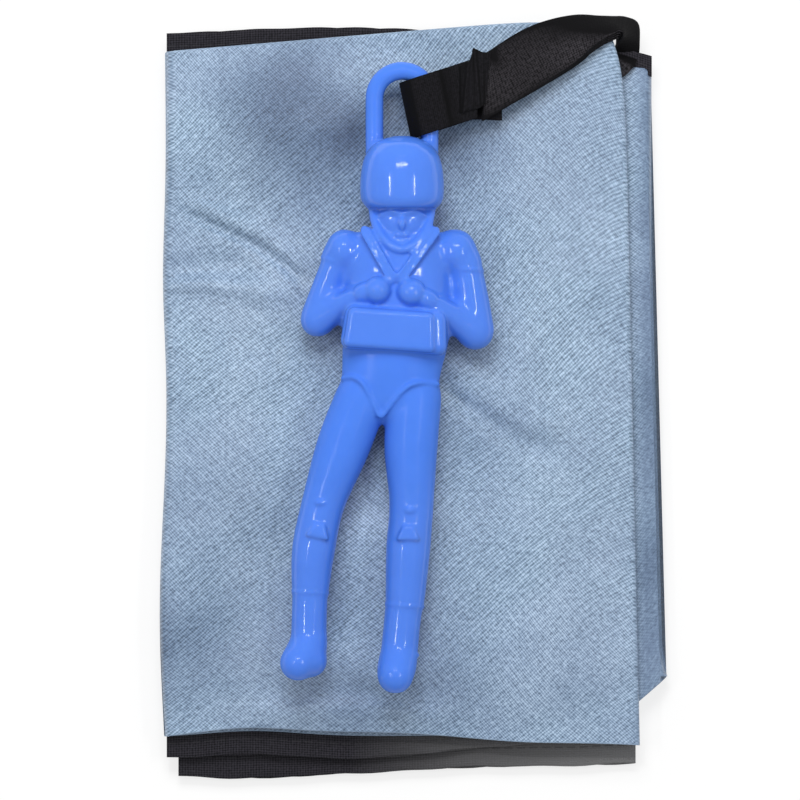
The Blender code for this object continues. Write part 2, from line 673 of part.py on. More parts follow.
def tube_mesh(name, points, steps, resolution, flatness=1):
    """Mesh of a tapered tube through points of place and radius, with its caps welded.

    A flatness below 1 presses it flat that much in height, about its own middle line.
    """
    dense = round_ends(through([(x, y, z / flatness, radius) for x, y, z, radius in points], steps))
    widest = max(point[3] for point in dense)
    curve = bpy.data.curves.new(name, "CURVE")
    curve.dimensions = "3D"
    curve.bevel_depth = widest
    curve.bevel_resolution = resolution
    curve.use_fill_caps = True
    spline = curve.splines.new("POLY")
    spline.points.add(len(dense) - 1)
    for target, (x, y, z, radius) in zip(spline.points, dense):
        target.co = (x, y, z, 1)
        target.radius = radius / widest
    holder = bpy.data.objects.new(name, curve)
    bpy.context.scene.collection.objects.link(holder)
    graph = bpy.context.evaluated_depsgraph_get()
    mesh = bpy.data.meshes.new_from_object(holder.evaluated_get(graph))
    bpy.data.objects.remove(holder, do_unlink=True)
    bm = bmesh.new()
    bm.from_mesh(mesh)
    bm.transform(Matrix.Diagonal((1, 1, flatness, 1)))
    bmesh.ops.remove_doubles(bm, verts=bm.verts, dist=WELD)
    bpy.data.meshes.remove(mesh)
    return mesh_from(bm, name)


def ball_mesh(name, shares, back):
    """An ellipsoid given as the place and half sizes of a form of the figure."""
    bm = bmesh.new()
    small = max(shares[3:6]) < FINE_RADIUS_SHARE
    columns = SMALL_BALL_COLUMNS if small else BALL_COLUMNS
    rows = SMALL_BALL_ROWS if small else BALL_ROWS
    bmesh.ops.create_uvsphere(bm, u_segments=columns, v_segments=rows, radius=1)
    size = Matrix.Diagonal((*(share * FIGURE_HEIGHT for share in shares[3:6]), 1))
    bm.transform(Matrix.Translation(figure_place(shares, back)) @ size)
    return mesh_from(bm, name)


def torso_mesh(name, back):
    """The torso, lofted through squarish ovals from the neck to the crotch."""
    bm = bmesh.new()
    rings = []
    for across, down, up, half_width, half_depth in TORSO_SHARES:
        middle = figure_place((across, down, up), back)
        ring = []
        for i in range(BODY_SIDES):
            turn = 2 * math.pi * i / BODY_SIDES
            cosine = math.cos(turn)
            sine = math.sin(turn)
            reach = (abs(cosine) ** SQUARENESS + abs(sine) ** SQUARENESS) ** (-1 / SQUARENESS)
            x = half_width * reach * cosine * FIGURE_HEIGHT
            z = half_depth * reach * sine * FIGURE_HEIGHT
            ring.append(bm.verts.new(middle + Vector((x, 0, z))))
        rings.append(ring)
    for first, second in zip(rings, rings[1:]):
        for i in range(BODY_SIDES):
            j = (i + 1) % BODY_SIDES
            bm.faces.new((first[i], first[j], second[j], second[i]))
    bm.faces.new(rings[0])
    bm.faces.new(rings[-1])
    return mesh_from(bm, name)


def box_mesh(name, shares, corner_share, taper_share, turned, back):
    """A box of the figure's kit, with rounded edges, narrower at its top and turned a little."""
    bm = bmesh.new()
    bmesh.ops.create_cube(bm, size=2)
    for vertex in bm.verts:
        if vertex.co.y > 0:
            vertex.co.x *= taper_share
    bm.transform(Matrix.Diagonal((*(share * FIGURE_HEIGHT for share in shares[3:6]), 1)))
    bmesh.ops.bevel(
        bm, geom=bm.edges[:], offset=corner_share * FIGURE_HEIGHT, segments=3,
        profile=0.5, affect="EDGES", clamp_overlap=True,
    )
    turn = Matrix.Rotation(math.radians(turned), 4, "Z")
    bm.transform(Matrix.Translation(figure_place(shares, back)) @ turn)
    return mesh_from(bm, name)


def helmet_mesh(name, back):
    """The helmet: its outline turned about the figure's long axis, then flattened a little."""
    outline = bpy.data.meshes.new(name)
    points = [(out * FIGURE_HEIGHT, 0, -down * FIGURE_HEIGHT) for out, down in HELMET_SHARES]
    outline.from_pydata(points, [(i, i + 1) for i in range(len(points) - 1)], [])
    holder = bpy.data.objects.new(name, outline)
    bpy.context.scene.collection.objects.link(holder)
    screw = holder.modifiers.new("turn", "SCREW")
    screw.axis = "Z"
    screw.steps = BODY_SIDES + 4
    screw.render_steps = BODY_SIDES + 4
    screw.use_merge_vertices = True
    screw.merge_threshold = WELD
    graph = bpy.context.evaluated_depsgraph_get()
    mesh = bpy.data.meshes.new_from_object(holder.evaluated_get(graph))
    bpy.data.objects.remove(holder, do_unlink=True)
    bm = bmesh.new()
    bm.from_mesh(mesh)
    flatten = Matrix.Diagonal((1, HELMET_DEPTH_SHARE, 1, 1))
    upright = Matrix.Rotation(math.radians(-90), 4, "X")
    middle = figure_place((0, 0, HELMET_MIDDLE_SHARE), back)
    bm.transform(Matrix.Translation(middle) @ upright @ flatten)
    bmesh.ops.remove_doubles(bm, verts=bm.verts, dist=WELD)
    bpy.data.meshes.remove(mesh)
    return mesh_from(bm, name)


def bail_points(back):
    """The wire loop that the sleeve goes round: up one leg, over and down into the helmet."""
    radius = (BAIL_WIDTH - BAIL_WIRE) / 2
    root = BAIL_Y - BAIL_REACH - BAIL_ROOT
    z = back + BAIL_LIFT
    points = [(BAIL_X - radius, root, z)]
    for step in range(BAIL_STEPS + 1):
        turn = math.pi * (1 - step / BAIL_STEPS)
        x = BAIL_X + radius * math.cos(turn)
        points.append((x, BAIL_Y - radius + radius * math.sin(turn), z))
    points.append((BAIL_X + radius, root, z))
    return [(*point, BAIL_WIRE / 2) for point in points]


def make_paratrooper(name, back, collection, cutters, material):
    """The one-piece moulding: its forms joined by one exact union."""
    forms = [("helmet", helmet_mesh("helmet_form", back))]
    forms.append(("bail", tube_mesh("bail_form", bail_points(back), 1, LIMB_RESOLUTION)))
    for form_name, shares, *finish in BOXES:
        forms.append((form_name, box_mesh(form_name + "_form", shares, *finish, back)))
    for form_name, shares in LIMBS + STRAPS:
        places = [(*figure_place(row, back), row[3] * FIGURE_HEIGHT) for row in shares]
        fine = LIMB_RESOLUTION if shares[0][3] > FINE_RADIUS_SHARE else LIMB_RESOLUTION - 3
        flatness = STRAP_FLAT_SHARE if form_name.endswith("strap") else 1
        steps = LIMB_STEPS if len(shares) > 2 else 1
        forms.append((form_name, tube_mesh(form_name + "_form", places, steps, fine, flatness)))
    for form_name, shares in BALLS:
        forms.append((form_name, ball_mesh(form_name + "_form", shares, back)))
    for form_name, mesh in forms:
        helper = new_object(form_name + "_form", mesh, cutters, None)
        helper.hide_render = True
        helper.display_type = "WIRE"
    figure = new_object(name, torso_mesh(name, back), collection, material)
    union = figure.modifiers.new("moulded_together", "BOOLEAN")
    union.operation = "UNION"
    union.operand_type = "COLLECTION"
    union.collection = cutters
    union.solver = "EXACT"
    return figure


def joint_empty(name, place, parent, collection):
    """An empty on a joint's axis, which carries the pieces that move with that joint."""
    made = bpy.data.objects.new(name, None)
    made.empty_display_size = EMPTY_SIZE
    collection.objects.link(made)
    made.parent = parent
    made.location = Vector(place) - (Vector(parent["place"]) if parent else Vector())
    made["place"] = Vector(place)
    return made


def hang(thing, empty):
    """Lets a piece move with a joint's empty, and leaves it where it was modelled."""
    thing.parent = empty
    thing.location = -Vector(empty["place"])


def centre_footprint(base_empty, pieces):
    """Puts the middle of the footprint on the origin, with the packet resting on Z = 0."""
    bpy.context.view_layer.update()
    graph = bpy.context.evaluated_depsgraph_get()
    corners = []
    for piece in pieces:
        shown = piece.evaluated_get(graph)
        corners += [shown.matrix_world @ Vector(corner) for corner in shown.bound_box]
    for axis in (0, 1):
        low = min(corner[axis] for corner in corners)
        high = max(corner[axis] for corner in corners)
        base_empty.location[axis] -= (low + high) / 2
    base_empty.location[2] -= min(corner[2] for corner in corners)
    bpy.context.view_layer.update()


def main():
    clear_scene()
    parts = new_collection("toy_parachute")
    cutters = new_collection("paratrooper_forms")
    cutters.hide_render = True
    nylon = new_material("blue_grey_nylon", (0.30, 0.44, 0.56), 0.45)
    binding = new_material("black_binding", (0.012, 0.012, 0.014), 0.80)
    ribbon = new_material("black_ribbon", (0.015, 0.015, 0.017), 0.70)
    plastic = new_material("bright_blue_plastic", (0.045, 0.19, 0.83), 0.28)

    leaf_step = LEAF_THICKNESS + LEAF_GAP
    middle_base = leaf_step
    top_base = 2 * leaf_step
    crown = top_base + dome_height(0, 0) + LEAF_THICKNESS
    figure_back = crown + TOUCH_GAP
    bail_z = figure_back + BAIL_LIFT
    seam = Vector((SEAM_X, SEAM_Y, bail_z))
    corner, corner_rise = corner_middle(top_base)

    right_x = max(x for x, _ in MIDDLE_LEAF_SHARES) * FOLDED_WIDTH + LEAF_GAP
    left_x = min(x for x, _ in MIDDLE_LEAF_SHARES) * FOLDED_WIDTH - LEAF_GAP
    base = joint_empty("packet_base", (0, 0, 0), None, parts)
    right_fold_place = (right_x, 0, middle_base - LEAF_GAP / 2)
    right_fold = joint_empty("right_fold_axis", right_fold_place, base, parts)
    left_fold_place = (left_x, 0, top_base - LEAF_GAP / 2)
    left_fold = joint_empty("left_fold_axis", left_fold_place, right_fold, parts)
    lift_place = corner + Vector((0, 0, corner_rise + TOUCH_GAP))
    ribbon_lift = joint_empty("ribbon_lift_axis", lift_place, left_fold, parts)
    swing = joint_empty("figure_swing_axis", (BAIL_X, BAIL_Y, bail_z), ribbon_lift, parts)

    leaf = make_leaf(
        "canopy_bottom_leaf", BOTTOM_LEAF_SHARES, BOTTOM_LEAF_BOW_SHARES, 0, (8, 10), False,
        parts, nylon,
    )
    hem_z = LEAF_THICKNESS / 2
    hem = make_hem(
        "canopy_hem_bottom", BOTTOM_LEAF_SHARES, BOTTOM_LEAF_BOW_SHARES, 0, (0.0, 1.0), hem_z,
        parts, binding,
    )
    for piece in (leaf, hem):
        hang(piece, base)

    middle = [make_leaf(
        "canopy_middle_leaf", MIDDLE_LEAF_SHARES, MIDDLE_LEAF_BOW_SHARES, middle_base, (17, 10),
        False, parts, nylon,
    )]
    for name, v, span in (
        ("canopy_hem_middle", 0, (0.0, 0.89)),
        ("canopy_hem_top", 1, (0.0, 0.76)),
        ("canopy_hem_corner", 1, (0.93, 0.995)),
    ):
        middle.append(make_hem(
            name, MIDDLE_LEAF_SHARES, MIDDLE_LEAF_BOW_SHARES, v, span, middle_base + hem_z,
            parts, binding,
        ))
    for piece in middle:
        hang(piece, right_fold)

    top = [make_leaf(
        "canopy_top_leaf", TOP_LEAF_SHARES, TOP_LEAF_BOW_SHARES, top_base, (18, 20), True,
        parts, nylon,
    )]
    for i in range(RIBBON_COUNT):
        level = top_base + i * RIBBON_PITCH
        top.append(make_hank(f"packed_ribbon_{i + 1}", level, parts, ribbon))
    turn = turn_stations(corner)
    top.append(make_band("ribbon_corner_turn", turn, stack_height(), 0, parts, ribbon))
    for piece in top:
        hang(piece, left_fold)

    strap_start = seam + Vector((2 * SEAM_GAP, 0, 0))
    strap = strap_stations(strap_start, corner)
    for i in range(RIBBON_COUNT):
        lift = (i - (RIBBON_COUNT - 1) / 2) * RIBBON_PITCH
        strip = make_band(
            f"suspension_ribbon_{i + 1}", strap, RIBBON_THICKNESS, lift, parts, ribbon
        )
        hang(strip, ribbon_lift)

    figure = make_paratrooper("paratrooper", figure_back, parts, cutters, plastic)
    sleeve = make_band(
        "bail_sleeve", sleeve_stations(seam), RIBBON_THICKNESS, 0, parts, ribbon
    )
    block = make_band("ribbon_seam", seam_stations(seam), SEAM_THICKNESS, 0, parts, ribbon)
    for piece in (figure, sleeve, block):
        hang(piece, swing)

    solids = [piece for piece in parts.objects if piece.type == "MESH"]
    centre_footprint(base, [piece for piece in solids if piece.parent != ribbon_lift])


main()
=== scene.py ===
"""Toy parachute folded flat with its paratrooper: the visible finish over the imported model.

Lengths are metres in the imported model's frame: +Z up out of the packet, +Y towards the bail,
+X towards the corner where the ribbons leave.
"""
import math

import bpy
import numpy as np
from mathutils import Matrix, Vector


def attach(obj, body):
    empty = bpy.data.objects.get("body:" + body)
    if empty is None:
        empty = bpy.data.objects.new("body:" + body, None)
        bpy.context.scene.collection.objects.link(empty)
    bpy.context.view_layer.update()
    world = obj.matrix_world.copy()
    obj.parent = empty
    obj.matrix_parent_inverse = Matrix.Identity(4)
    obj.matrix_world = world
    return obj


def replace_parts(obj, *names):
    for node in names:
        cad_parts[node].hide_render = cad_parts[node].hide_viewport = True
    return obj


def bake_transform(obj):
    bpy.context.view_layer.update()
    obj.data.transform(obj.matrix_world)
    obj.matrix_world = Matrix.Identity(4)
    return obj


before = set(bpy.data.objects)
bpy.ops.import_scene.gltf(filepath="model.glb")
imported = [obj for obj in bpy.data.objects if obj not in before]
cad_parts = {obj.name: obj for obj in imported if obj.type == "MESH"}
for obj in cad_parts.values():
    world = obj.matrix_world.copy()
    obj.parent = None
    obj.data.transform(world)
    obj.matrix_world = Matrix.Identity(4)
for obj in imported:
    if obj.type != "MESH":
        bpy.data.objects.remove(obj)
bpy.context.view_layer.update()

# The packet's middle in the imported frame, and its folded size
PACKET_X = -0.00016
PACKET_Y = -0.0002859
FOLDED_WIDTH = 0.080
FOLDED_HEIGHT = 0.120
CUT_SIDE = 0.480

# One leaf: eight plies of nylon
PLIES = 8
LEAF_THICKNESS = 0.0022
LEAF_GAP = 0.0003
LEAF_BASES = (0.0, 0.0025, 0.0050)

# Ribbons
RIBBON_COUNT = 4
RIBBON_WIDTH = 0.0095
RIBBON_THICKNESS = 0.00028
RIBBON_PITCH = 0.0005
HANK_RUN = 0.0850
HANK_RUNS = 3
HANK_SIDE_GAP = 0.0010

# Outlines of the leaves, as shares of the folded width and height from the packet's middle:
# top left, top right, bottom right, bottom left
TOP_OUTLINE = ((-0.511, 0.479), (0.408, 0.497), (0.439, -0.479), (-0.514, -0.469))
MIDDLE_OUTLINE = ((-0.520, 0.478), (0.491, 0.455), (0.524, -0.465), (-0.507, -0.469))
BOTTOM_OUTLINE = ((-0.503, 0.458), (0.491, 0.450), (0.458, -0.480), (-0.491, -0.495))
# How their edges bow: top edge, its slant, bottom edge, its rise at the left, its dip at the
# right, left edge, right edge, and the turned up corner
TOP_BOWS = (0.0, 0.0335, 0.012, 0.0085, 0.0070, 1.0, 0.027, 0.0)
MIDDLE_BOWS = (0.0175, 0.0, 0.0, 0.0080, 0.0, 1.0, 0.0, 0.080)
BOTTOM_BOWS = (0.020, 0.0, 0.0, 0.0, 0.0, 0.0, 0.0, 0.0)


# Small helpers

def lerp(a, b, share):
    return a + (b - a) * share


def through(points, steps):
    """Points on a smooth curve through the given ones, each a tuple of like length."""
    rows = np.array(points, float)
    before = np.vstack([rows[:1], rows[:-2]]) if len(rows) > 2 else rows[:1]
    after = np.vstack([rows[2:], rows[-1:]]) if len(rows) > 2 else rows[-1:]
    found = []
    for a, b, c, d in zip(before, rows[:-1], rows[1:], after):
        for s in np.arange(steps) / steps:
            found.append(0.5 * (2 * b + (c - a) * s + (2 * a - 5 * b + 4 * c - d) * s * s
                                + (3 * b - a - 3 * c + d) * s ** 3))
    found.append(rows[-1])
    return np.array(found)


def falling(share, start, end):
    """1 up to start, 0 from end on, and a smooth slope between."""
    s = np.clip((share - start) / (end - start), 0, 1)
    return 0.5 + 0.5 * np.cos(np.pi * s)


def deselect():
    bpy.ops.object.select_all(action="DESELECT")


def activate(thing):
    deselect()
    thing.select_set(True)
    bpy.context.view_layer.objects.active = thing


def finish_place(thing):
    """Puts a piece's place, turn and size into its mesh."""
    activate(thing)
    bpy.ops.object.transform_apply(location=True, rotation=True, scale=True)


# Materials

class Nodes:
    """Short hand for adding and joining the nodes of one tree."""

    def __init__(self, tree):
        self.tree = tree
        self.across = 0

    def add(self, kind, **values):
        node = self.tree.nodes.new(kind)
        self.across += 1
        node.location = (self.across * 190 - 2400, (self.across % 5) * -180)
        for key, value in values.items():
            if hasattr(node, key):
                setattr(node, key, value)
            else:
                self.feed(node.inputs[key.replace("_", " ")], value)
        return node

    def feed(self, socket, value):
        """Joins a socket to another one, or gives it a value."""
        if isinstance(value, bpy.types.NodeSocket):
            self.join(value, socket)
        elif value is not None:
            socket.default_value = value

    def noise(self, vector, scale, detail, roughness=0.5):
        return self.add("ShaderNodeTexNoise", Vector=vector, Scale=scale, Detail=detail,
                        Roughness=roughness).outputs

    def parts(self, vector):
        return self.add("ShaderNodeSeparateXYZ", Vector=vector).outputs

    def bump(self, height, strength, distance):
        return self.add("ShaderNodeBump", Height=height, Strength=strength, Distance=distance).outputs[0]

    def join(self, start, end):
        self.tree.links.new(start, end)

    def math(self, operation, a, b=None, c=None):
        node = self.add("ShaderNodeMath", operation=operation)
        for socket, value in zip(node.inputs, (a, b, c)):
            self.feed(socket, value)
        return node.outputs[0]

    def mix(self, factor, a, b):
        node = self.add("ShaderNodeMix", data_type="RGBA")
        for socket, value in zip((node.inputs[0], node.inputs[6], node.inputs[7]), (factor, a, b)):
            self.feed(socket, value)
        return node.outputs[2]

    def ramp(self, factor, stops):
        node = self.add("ShaderNodeValToRGB")
        elements = node.color_ramp.elements
        while len(elements) < len(stops):
            elements.new(0.5)
        for element, (place, value) in zip(elements, stops):
            element.position = place
            element.color = (*value, 1) if isinstance(value, tuple) else (value, value, value, 1)
        self.join(factor, node.inputs[0])
        return node.outputs[0]


def new_group(name, inputs, outputs):
    tree = bpy.data.node_groups.new(name, "ShaderNodeTree")
    for socket_name, kind, value in inputs:
        socket = tree.interface.new_socket(socket_name, in_out="INPUT", socket_type=kind)
        socket.default_value = value
    for socket_name, kind in outputs:
        tree.interface.new_socket(socket_name, in_out="OUTPUT", socket_type=kind)
    nodes = Nodes(tree)
    return nodes, nodes.add("NodeGroupInput"), nodes.add("NodeGroupOutput")


def make_thread_lines():
    """Threads lying side by side: how high each point of the cloth is, and a mask of slubs."""
    nodes, given, result = new_group(
        "thread_lines",
        (("Vector", "NodeSocketVector", (0, 0, 0)), ("Threads per metre", "NodeSocketFloat", 2500),
         ("Turn", "NodeSocketFloat", 0.0), ("Unevenness", "NodeSocketFloat", 0.5)),
        (("Height", "NodeSocketFloat"), ("Slub", "NodeSocketFloat")),
    )
    turn = nodes.add("ShaderNodeVectorRotate", rotation_type="Z_AXIS")
    nodes.join(given.outputs["Vector"], turn.inputs["Vector"])
    nodes.join(given.outputs["Turn"], turn.inputs["Angle"])
    split = nodes.add("ShaderNodeSeparateXYZ")
    nodes.join(turn.outputs[0], split.inputs[0])
    stretch = nodes.add("ShaderNodeCombineXYZ")
    nodes.join(nodes.math("MULTIPLY", split.outputs[0], 0.12), stretch.inputs[0])
    nodes.join(split.outputs[1], stretch.inputs[1])
    slub = nodes.add("ShaderNodeTexNoise", Detail=2.0, Roughness=0.6)
    nodes.join(stretch.outputs[0], slub.inputs["Vector"])
    nodes.join(nodes.math("MULTIPLY", given.outputs["Threads per metre"], 0.9), slub.inputs["Scale"])
    turns = nodes.math("MULTIPLY", split.outputs[1], given.outputs["Threads per metre"])
    wander = nodes.math("MULTIPLY", slub.outputs[0], given.outputs["Unevenness"])
    wave = nodes.math("SINE", nodes.math("MULTIPLY", nodes.math("ADD", turns, wander), 2 * math.pi))
    nodes.join(nodes.math("MULTIPLY_ADD", wave, 0.5, 0.5), result.inputs["Height"])
    nodes.join(slub.outputs[0], result.inputs["Slub"])
    return nodes.tree


THREAD_LINES = make_thread_lines()


def make_satin_zone():
    """How near a point is to the middle of a zone of the cloth: 1 there and 0 past its reach."""
    nodes, given, result = new_group(
        "satin_zone",
        (("Vector", "NodeSocketVector", (0, 0, 0)), ("Middle", "NodeSocketVector", (0, 0, 0)),
         ("Reach", "NodeSocketFloat", 0.02)),
        (("Share", "NodeSocketFloat"),),
    )
    level = nodes.add("ShaderNodeVectorMath", operation="MULTIPLY")
    level.inputs[1].default_value = (1, 1, 0)
    nodes.join(given.outputs["Vector"], level.inputs[0])
    away = nodes.add("ShaderNodeVectorMath", operation="DISTANCE")
    nodes.join(level.outputs[0], away.inputs[0])
    nodes.join(given.outputs["Middle"], away.inputs[1])
    reach = nodes.add("ShaderNodeMapRange", interpolation_type="SMOOTHSTEP")
    nodes.join(away.outputs["Value"], reach.inputs["Value"])
    nodes.join(given.outputs["Reach"], reach.inputs["From Max"])
    reach.inputs["To Min"].default_value = 1.0
    reach.inputs["To Max"].default_value = 0.0
    nodes.join(reach.outputs[0], result.inputs["Share"])
    return nodes.tree


SATIN_ZONE = make_satin_zone()

# Zones of painted shade (below zero) and painted sheen (above zero) in the cloth's colour: middle, reach,
# strength
PAINTED_SHADE_AND_SHEEN_ZONES = (
    ((-0.0184, 0.0474), 0.0220, -0.44),
    ((-0.0265, 0.0500), 0.0150, -0.22),
    ((-0.0100, 0.0430), 0.0110, -0.46),
    ((-0.0022, 0.0465), 0.0060, -0.45),
    ((-0.0209, 0.0350), 0.0130, -0.28),
    ((-0.0370, 0.0440), 0.0090, 0.12),
    ((0.0072, 0.0410), 0.0120, -0.48),
    ((0.0150, 0.0200), 0.0160, 0.10),
    ((-0.0310, 0.0110), 0.0150, 0.18),
    ((-0.0300, -0.0050), 0.0130, 0.06),
    ((-0.0262, -0.0180), 0.0120, -0.26),
    ((-0.0385, -0.0430), 0.0150, -0.34),
    ((-0.0290, -0.0350), 0.0140, -0.24),
    ((-0.0240, -0.0590), 0.0120, -0.28),
    ((0.0040, -0.0470), 0.0120, -0.34),
    ((-0.0110, -0.0510), 0.0110, -0.32),
    ((0.0200, -0.0530), 0.0130, 0.16),
    ((-0.0085, -0.0200), 0.0070, 0.20),
    ((-0.0117, -0.0350), 0.0080, -0.22),
    ((0.0190, -0.0200), 0.0160, 0.12),
)


def new_material(name):
    made = bpy.data.materials.new(name)
    made.use_nodes = True
    made.node_tree.nodes.clear()
    nodes = Nodes(made.node_tree)
    shader = nodes.add("ShaderNodeBsdfPrincipled")
    out = nodes.add("ShaderNodeOutputMaterial")
    nodes.join(shader.outputs[0], out.inputs[0])
    return made, nodes, shader


def thread_layer(nodes, vector, per_metre, turn, unevenness):
    node = nodes.add("ShaderNodeGroup", node_tree=THREAD_LINES)
    nodes.join(vector, node.inputs["Vector"])
    node.inputs["Threads per metre"].default_value = per_metre
    node.inputs["Turn"].default_value = math.radians(turn)
    node.inputs["Unevenness"].default_value = unevenness
    return node


def make_nylon():
    """Satin nylon: fine slanting thread lines broken by crossing ones, with a soft shine, and painted
    shade and painted sheen in its colour.
    """
    made, nodes, shader = new_material("blue_grey_satin_nylon")
    place = nodes.add("ShaderNodeTexCoord")
    drift = nodes.noise(place.outputs["UV"], 17.0, 1.0)
    centred = nodes.add("ShaderNodeVectorMath", operation="SUBTRACT")
    nodes.join(drift["Color"], centred.inputs[0])
    centred.inputs[1].default_value = (0.5, 0.5, 0.5)
    slack = nodes.add("ShaderNodeVectorMath", operation="MULTIPLY_ADD")
    nodes.join(centred.outputs[0], slack.inputs[0])
    slack.inputs[1].default_value = (0.010, 0.010, 0)
    nodes.join(place.outputs["UV"], slack.inputs[2])
    lines = thread_layer(nodes, slack.outputs[0], 1950, -38, 1.3)
    cross = thread_layer(nodes, slack.outputs[0], 2550, 46, 1.5)
    broad = nodes.noise(place.outputs["UV"], 46.0, 2.0)
    where = nodes.ramp(broad[0], ((0.40, 0.0), (0.62, 1.0)))
    hatch = nodes.math("MULTIPLY", cross.outputs[0], nodes.math("MULTIPLY_ADD", where, 0.18, 0.25))
    clear = nodes.math("MULTIPLY_ADD", where, -0.14, 0.44)
    weave = nodes.math("MULTIPLY_ADD", lines.outputs[0], clear, hatch)
    fleck = nodes.noise(place.outputs["UV"], 1600.0, 2.0, 0.65)
    uneven = nodes.math("MULTIPLY_ADD", fleck[0], 0.95, nodes.math("MULTIPLY", lines.outputs[1], 0.12))
    across = nodes.parts(place.outputs["Object"])[0]
    # Painted shade on the second leaf, right of the top leaf: fainter weave and a darker colour
    second_leaf_shade = nodes.ramp(nodes.math("MULTIPLY", across, 20.0), ((0.715, 0.0), (0.765, 1.0)))
    gain = nodes.math("MULTIPLY_ADD", second_leaf_shade, -0.62, 0.86)
    tone = nodes.math("MULTIPLY_ADD", nodes.math("SUBTRACT", weave, 0.36), gain,
                      nodes.math("ADD", uneven, -0.015))
    colour = nodes.ramp(tone, (
        (0.16, (0.068, 0.116, 0.180)), (0.50, (0.218, 0.318, 0.450)), (0.84, (0.425, 0.565, 0.728)),
    ))
    warm = nodes.mix(nodes.math("MULTIPLY", where, 0.14), colour, (0.280, 0.325, 0.500, 1))
    # Painted sheen and shade: a soft noise and the zones make a factor that lightens or darkens the
    # cloth's colour
    painted_sheen_noise = nodes.noise(place.outputs["UV"], 62.0, 3.0)
    painted_light = nodes.math("MULTIPLY_ADD", painted_sheen_noise[0], 0.66, 0.66)
    for middle, reach, strength in PAINTED_SHADE_AND_SHEEN_ZONES:
        zone = nodes.add("ShaderNodeGroup", node_tree=SATIN_ZONE)
        nodes.join(place.outputs["Object"], zone.inputs["Vector"])
        zone.inputs["Middle"].default_value = (*middle, 0)
        zone.inputs["Reach"].default_value = reach
        painted_light = nodes.math("MULTIPLY_ADD", zone.outputs[0], strength, painted_light)
    painted_light = nodes.math("MULTIPLY_ADD", second_leaf_shade, -0.42, painted_light)
    # Painted shade along the cloth's left edge
    left_edge_shade = nodes.ramp(nodes.math("MULTIPLY_ADD", across, 20.0, 1.0),
                           ((0.150, 1.0), (0.205, 0.0)))
    painted_light = nodes.math("MULTIPLY_ADD", left_edge_shade, -0.22, painted_light)
    # Painted shade is bluer than painted sheen: the factor darkens red most and blue least
    shade_tint = nodes.add("ShaderNodeCombineXYZ")
    for socket, power in zip(shade_tint.inputs, (1.0, 0.89, 0.71)):
        nodes.join(nodes.math("POWER", painted_light, power), socket)
    painted_light_colour = nodes.add("ShaderNodeVectorMath", operation="MULTIPLY")
    nodes.join(warm, painted_light_colour.inputs[0])
    nodes.join(shade_tint.outputs[0], painted_light_colour.inputs[1])
    nodes.join(painted_light_colour.outputs[0], shader.inputs["Base Color"])
    nodes.join(nodes.math("MULTIPLY_ADD", lines.outputs[0], -0.08, 0.46), shader.inputs["Roughness"])
    nodes.join(nodes.bump(weave, 0.35, 0.00008), shader.inputs["Normal"])
    shader.inputs["Specular IOR Level"].default_value = 0.70
    shader.inputs["Sheen Weight"].default_value = 0.08
    shader.inputs["Sheen Roughness"].default_value = 0.35
    return made


def woven(nodes, uv, warp, ribs, fuzz, weave_share):
    """Ribs across warp threads, with fuzz: how high the weave is, and its tone."""
    height = nodes.math("MULTIPLY", thread_layer(nodes, uv, *ribs).outputs[0], 0.5)
    height = nodes.math("MULTIPLY_ADD", thread_layer(nodes, uv, *warp).outputs[0], 0.5, height)
    fuzzy = nodes.math("MULTIPLY", nodes.noise(uv, *fuzz)[0], 1 - weave_share)
    return height, nodes.math("MULTIPLY_ADD", height, weave_share, fuzzy)


def make_ribbon_material(name, ribs_per_metre, base, glint_colour, roughness):
    """Black woven ribbon: faint cross ribs, fuzz, and a dull glint painted into its colour where it faces
    the eye.
    """
    made, nodes, shader = new_material(name)
    place = nodes.add("ShaderNodeTexCoord")
    weave, tone = woven(nodes, place.outputs["UV"], (ribs_per_metre * 1.35, 0, 0.9),
                        (ribs_per_metre, 90, 0.55), (2300.0, 3.0, 0.65), 0.22)
    threads = nodes.ramp(tone, ((0.38, base), (0.62, glint_colour)))
    # Painted glint: where the ribbon faces the camera it shows the lighter thread tone, where it turns
    # away it stays at its black base
    facing = nodes.add("ShaderNodeLayerWeight", Blend=0.5)
    turned = nodes.ramp(facing.outputs["Facing"], ((0.015, 0.0), (0.11, 1.0)))
    colour = nodes.mix(turned, threads, (*base, 1))
    nodes.join(colour, shader.inputs["Base Color"])
    nodes.join(nodes.math("MULTIPLY_ADD", weave, -0.10, roughness), shader.inputs["Roughness"])
    nodes.join(nodes.bump(tone, 0.6, 0.00010), shader.inputs["Normal"])
    shader.inputs["Specular IOR Level"].default_value = 0.12
    shader.inputs["Sheen Weight"].default_value = 0.02
    shader.inputs["Sheen Roughness"].default_value = 0.5
    return made


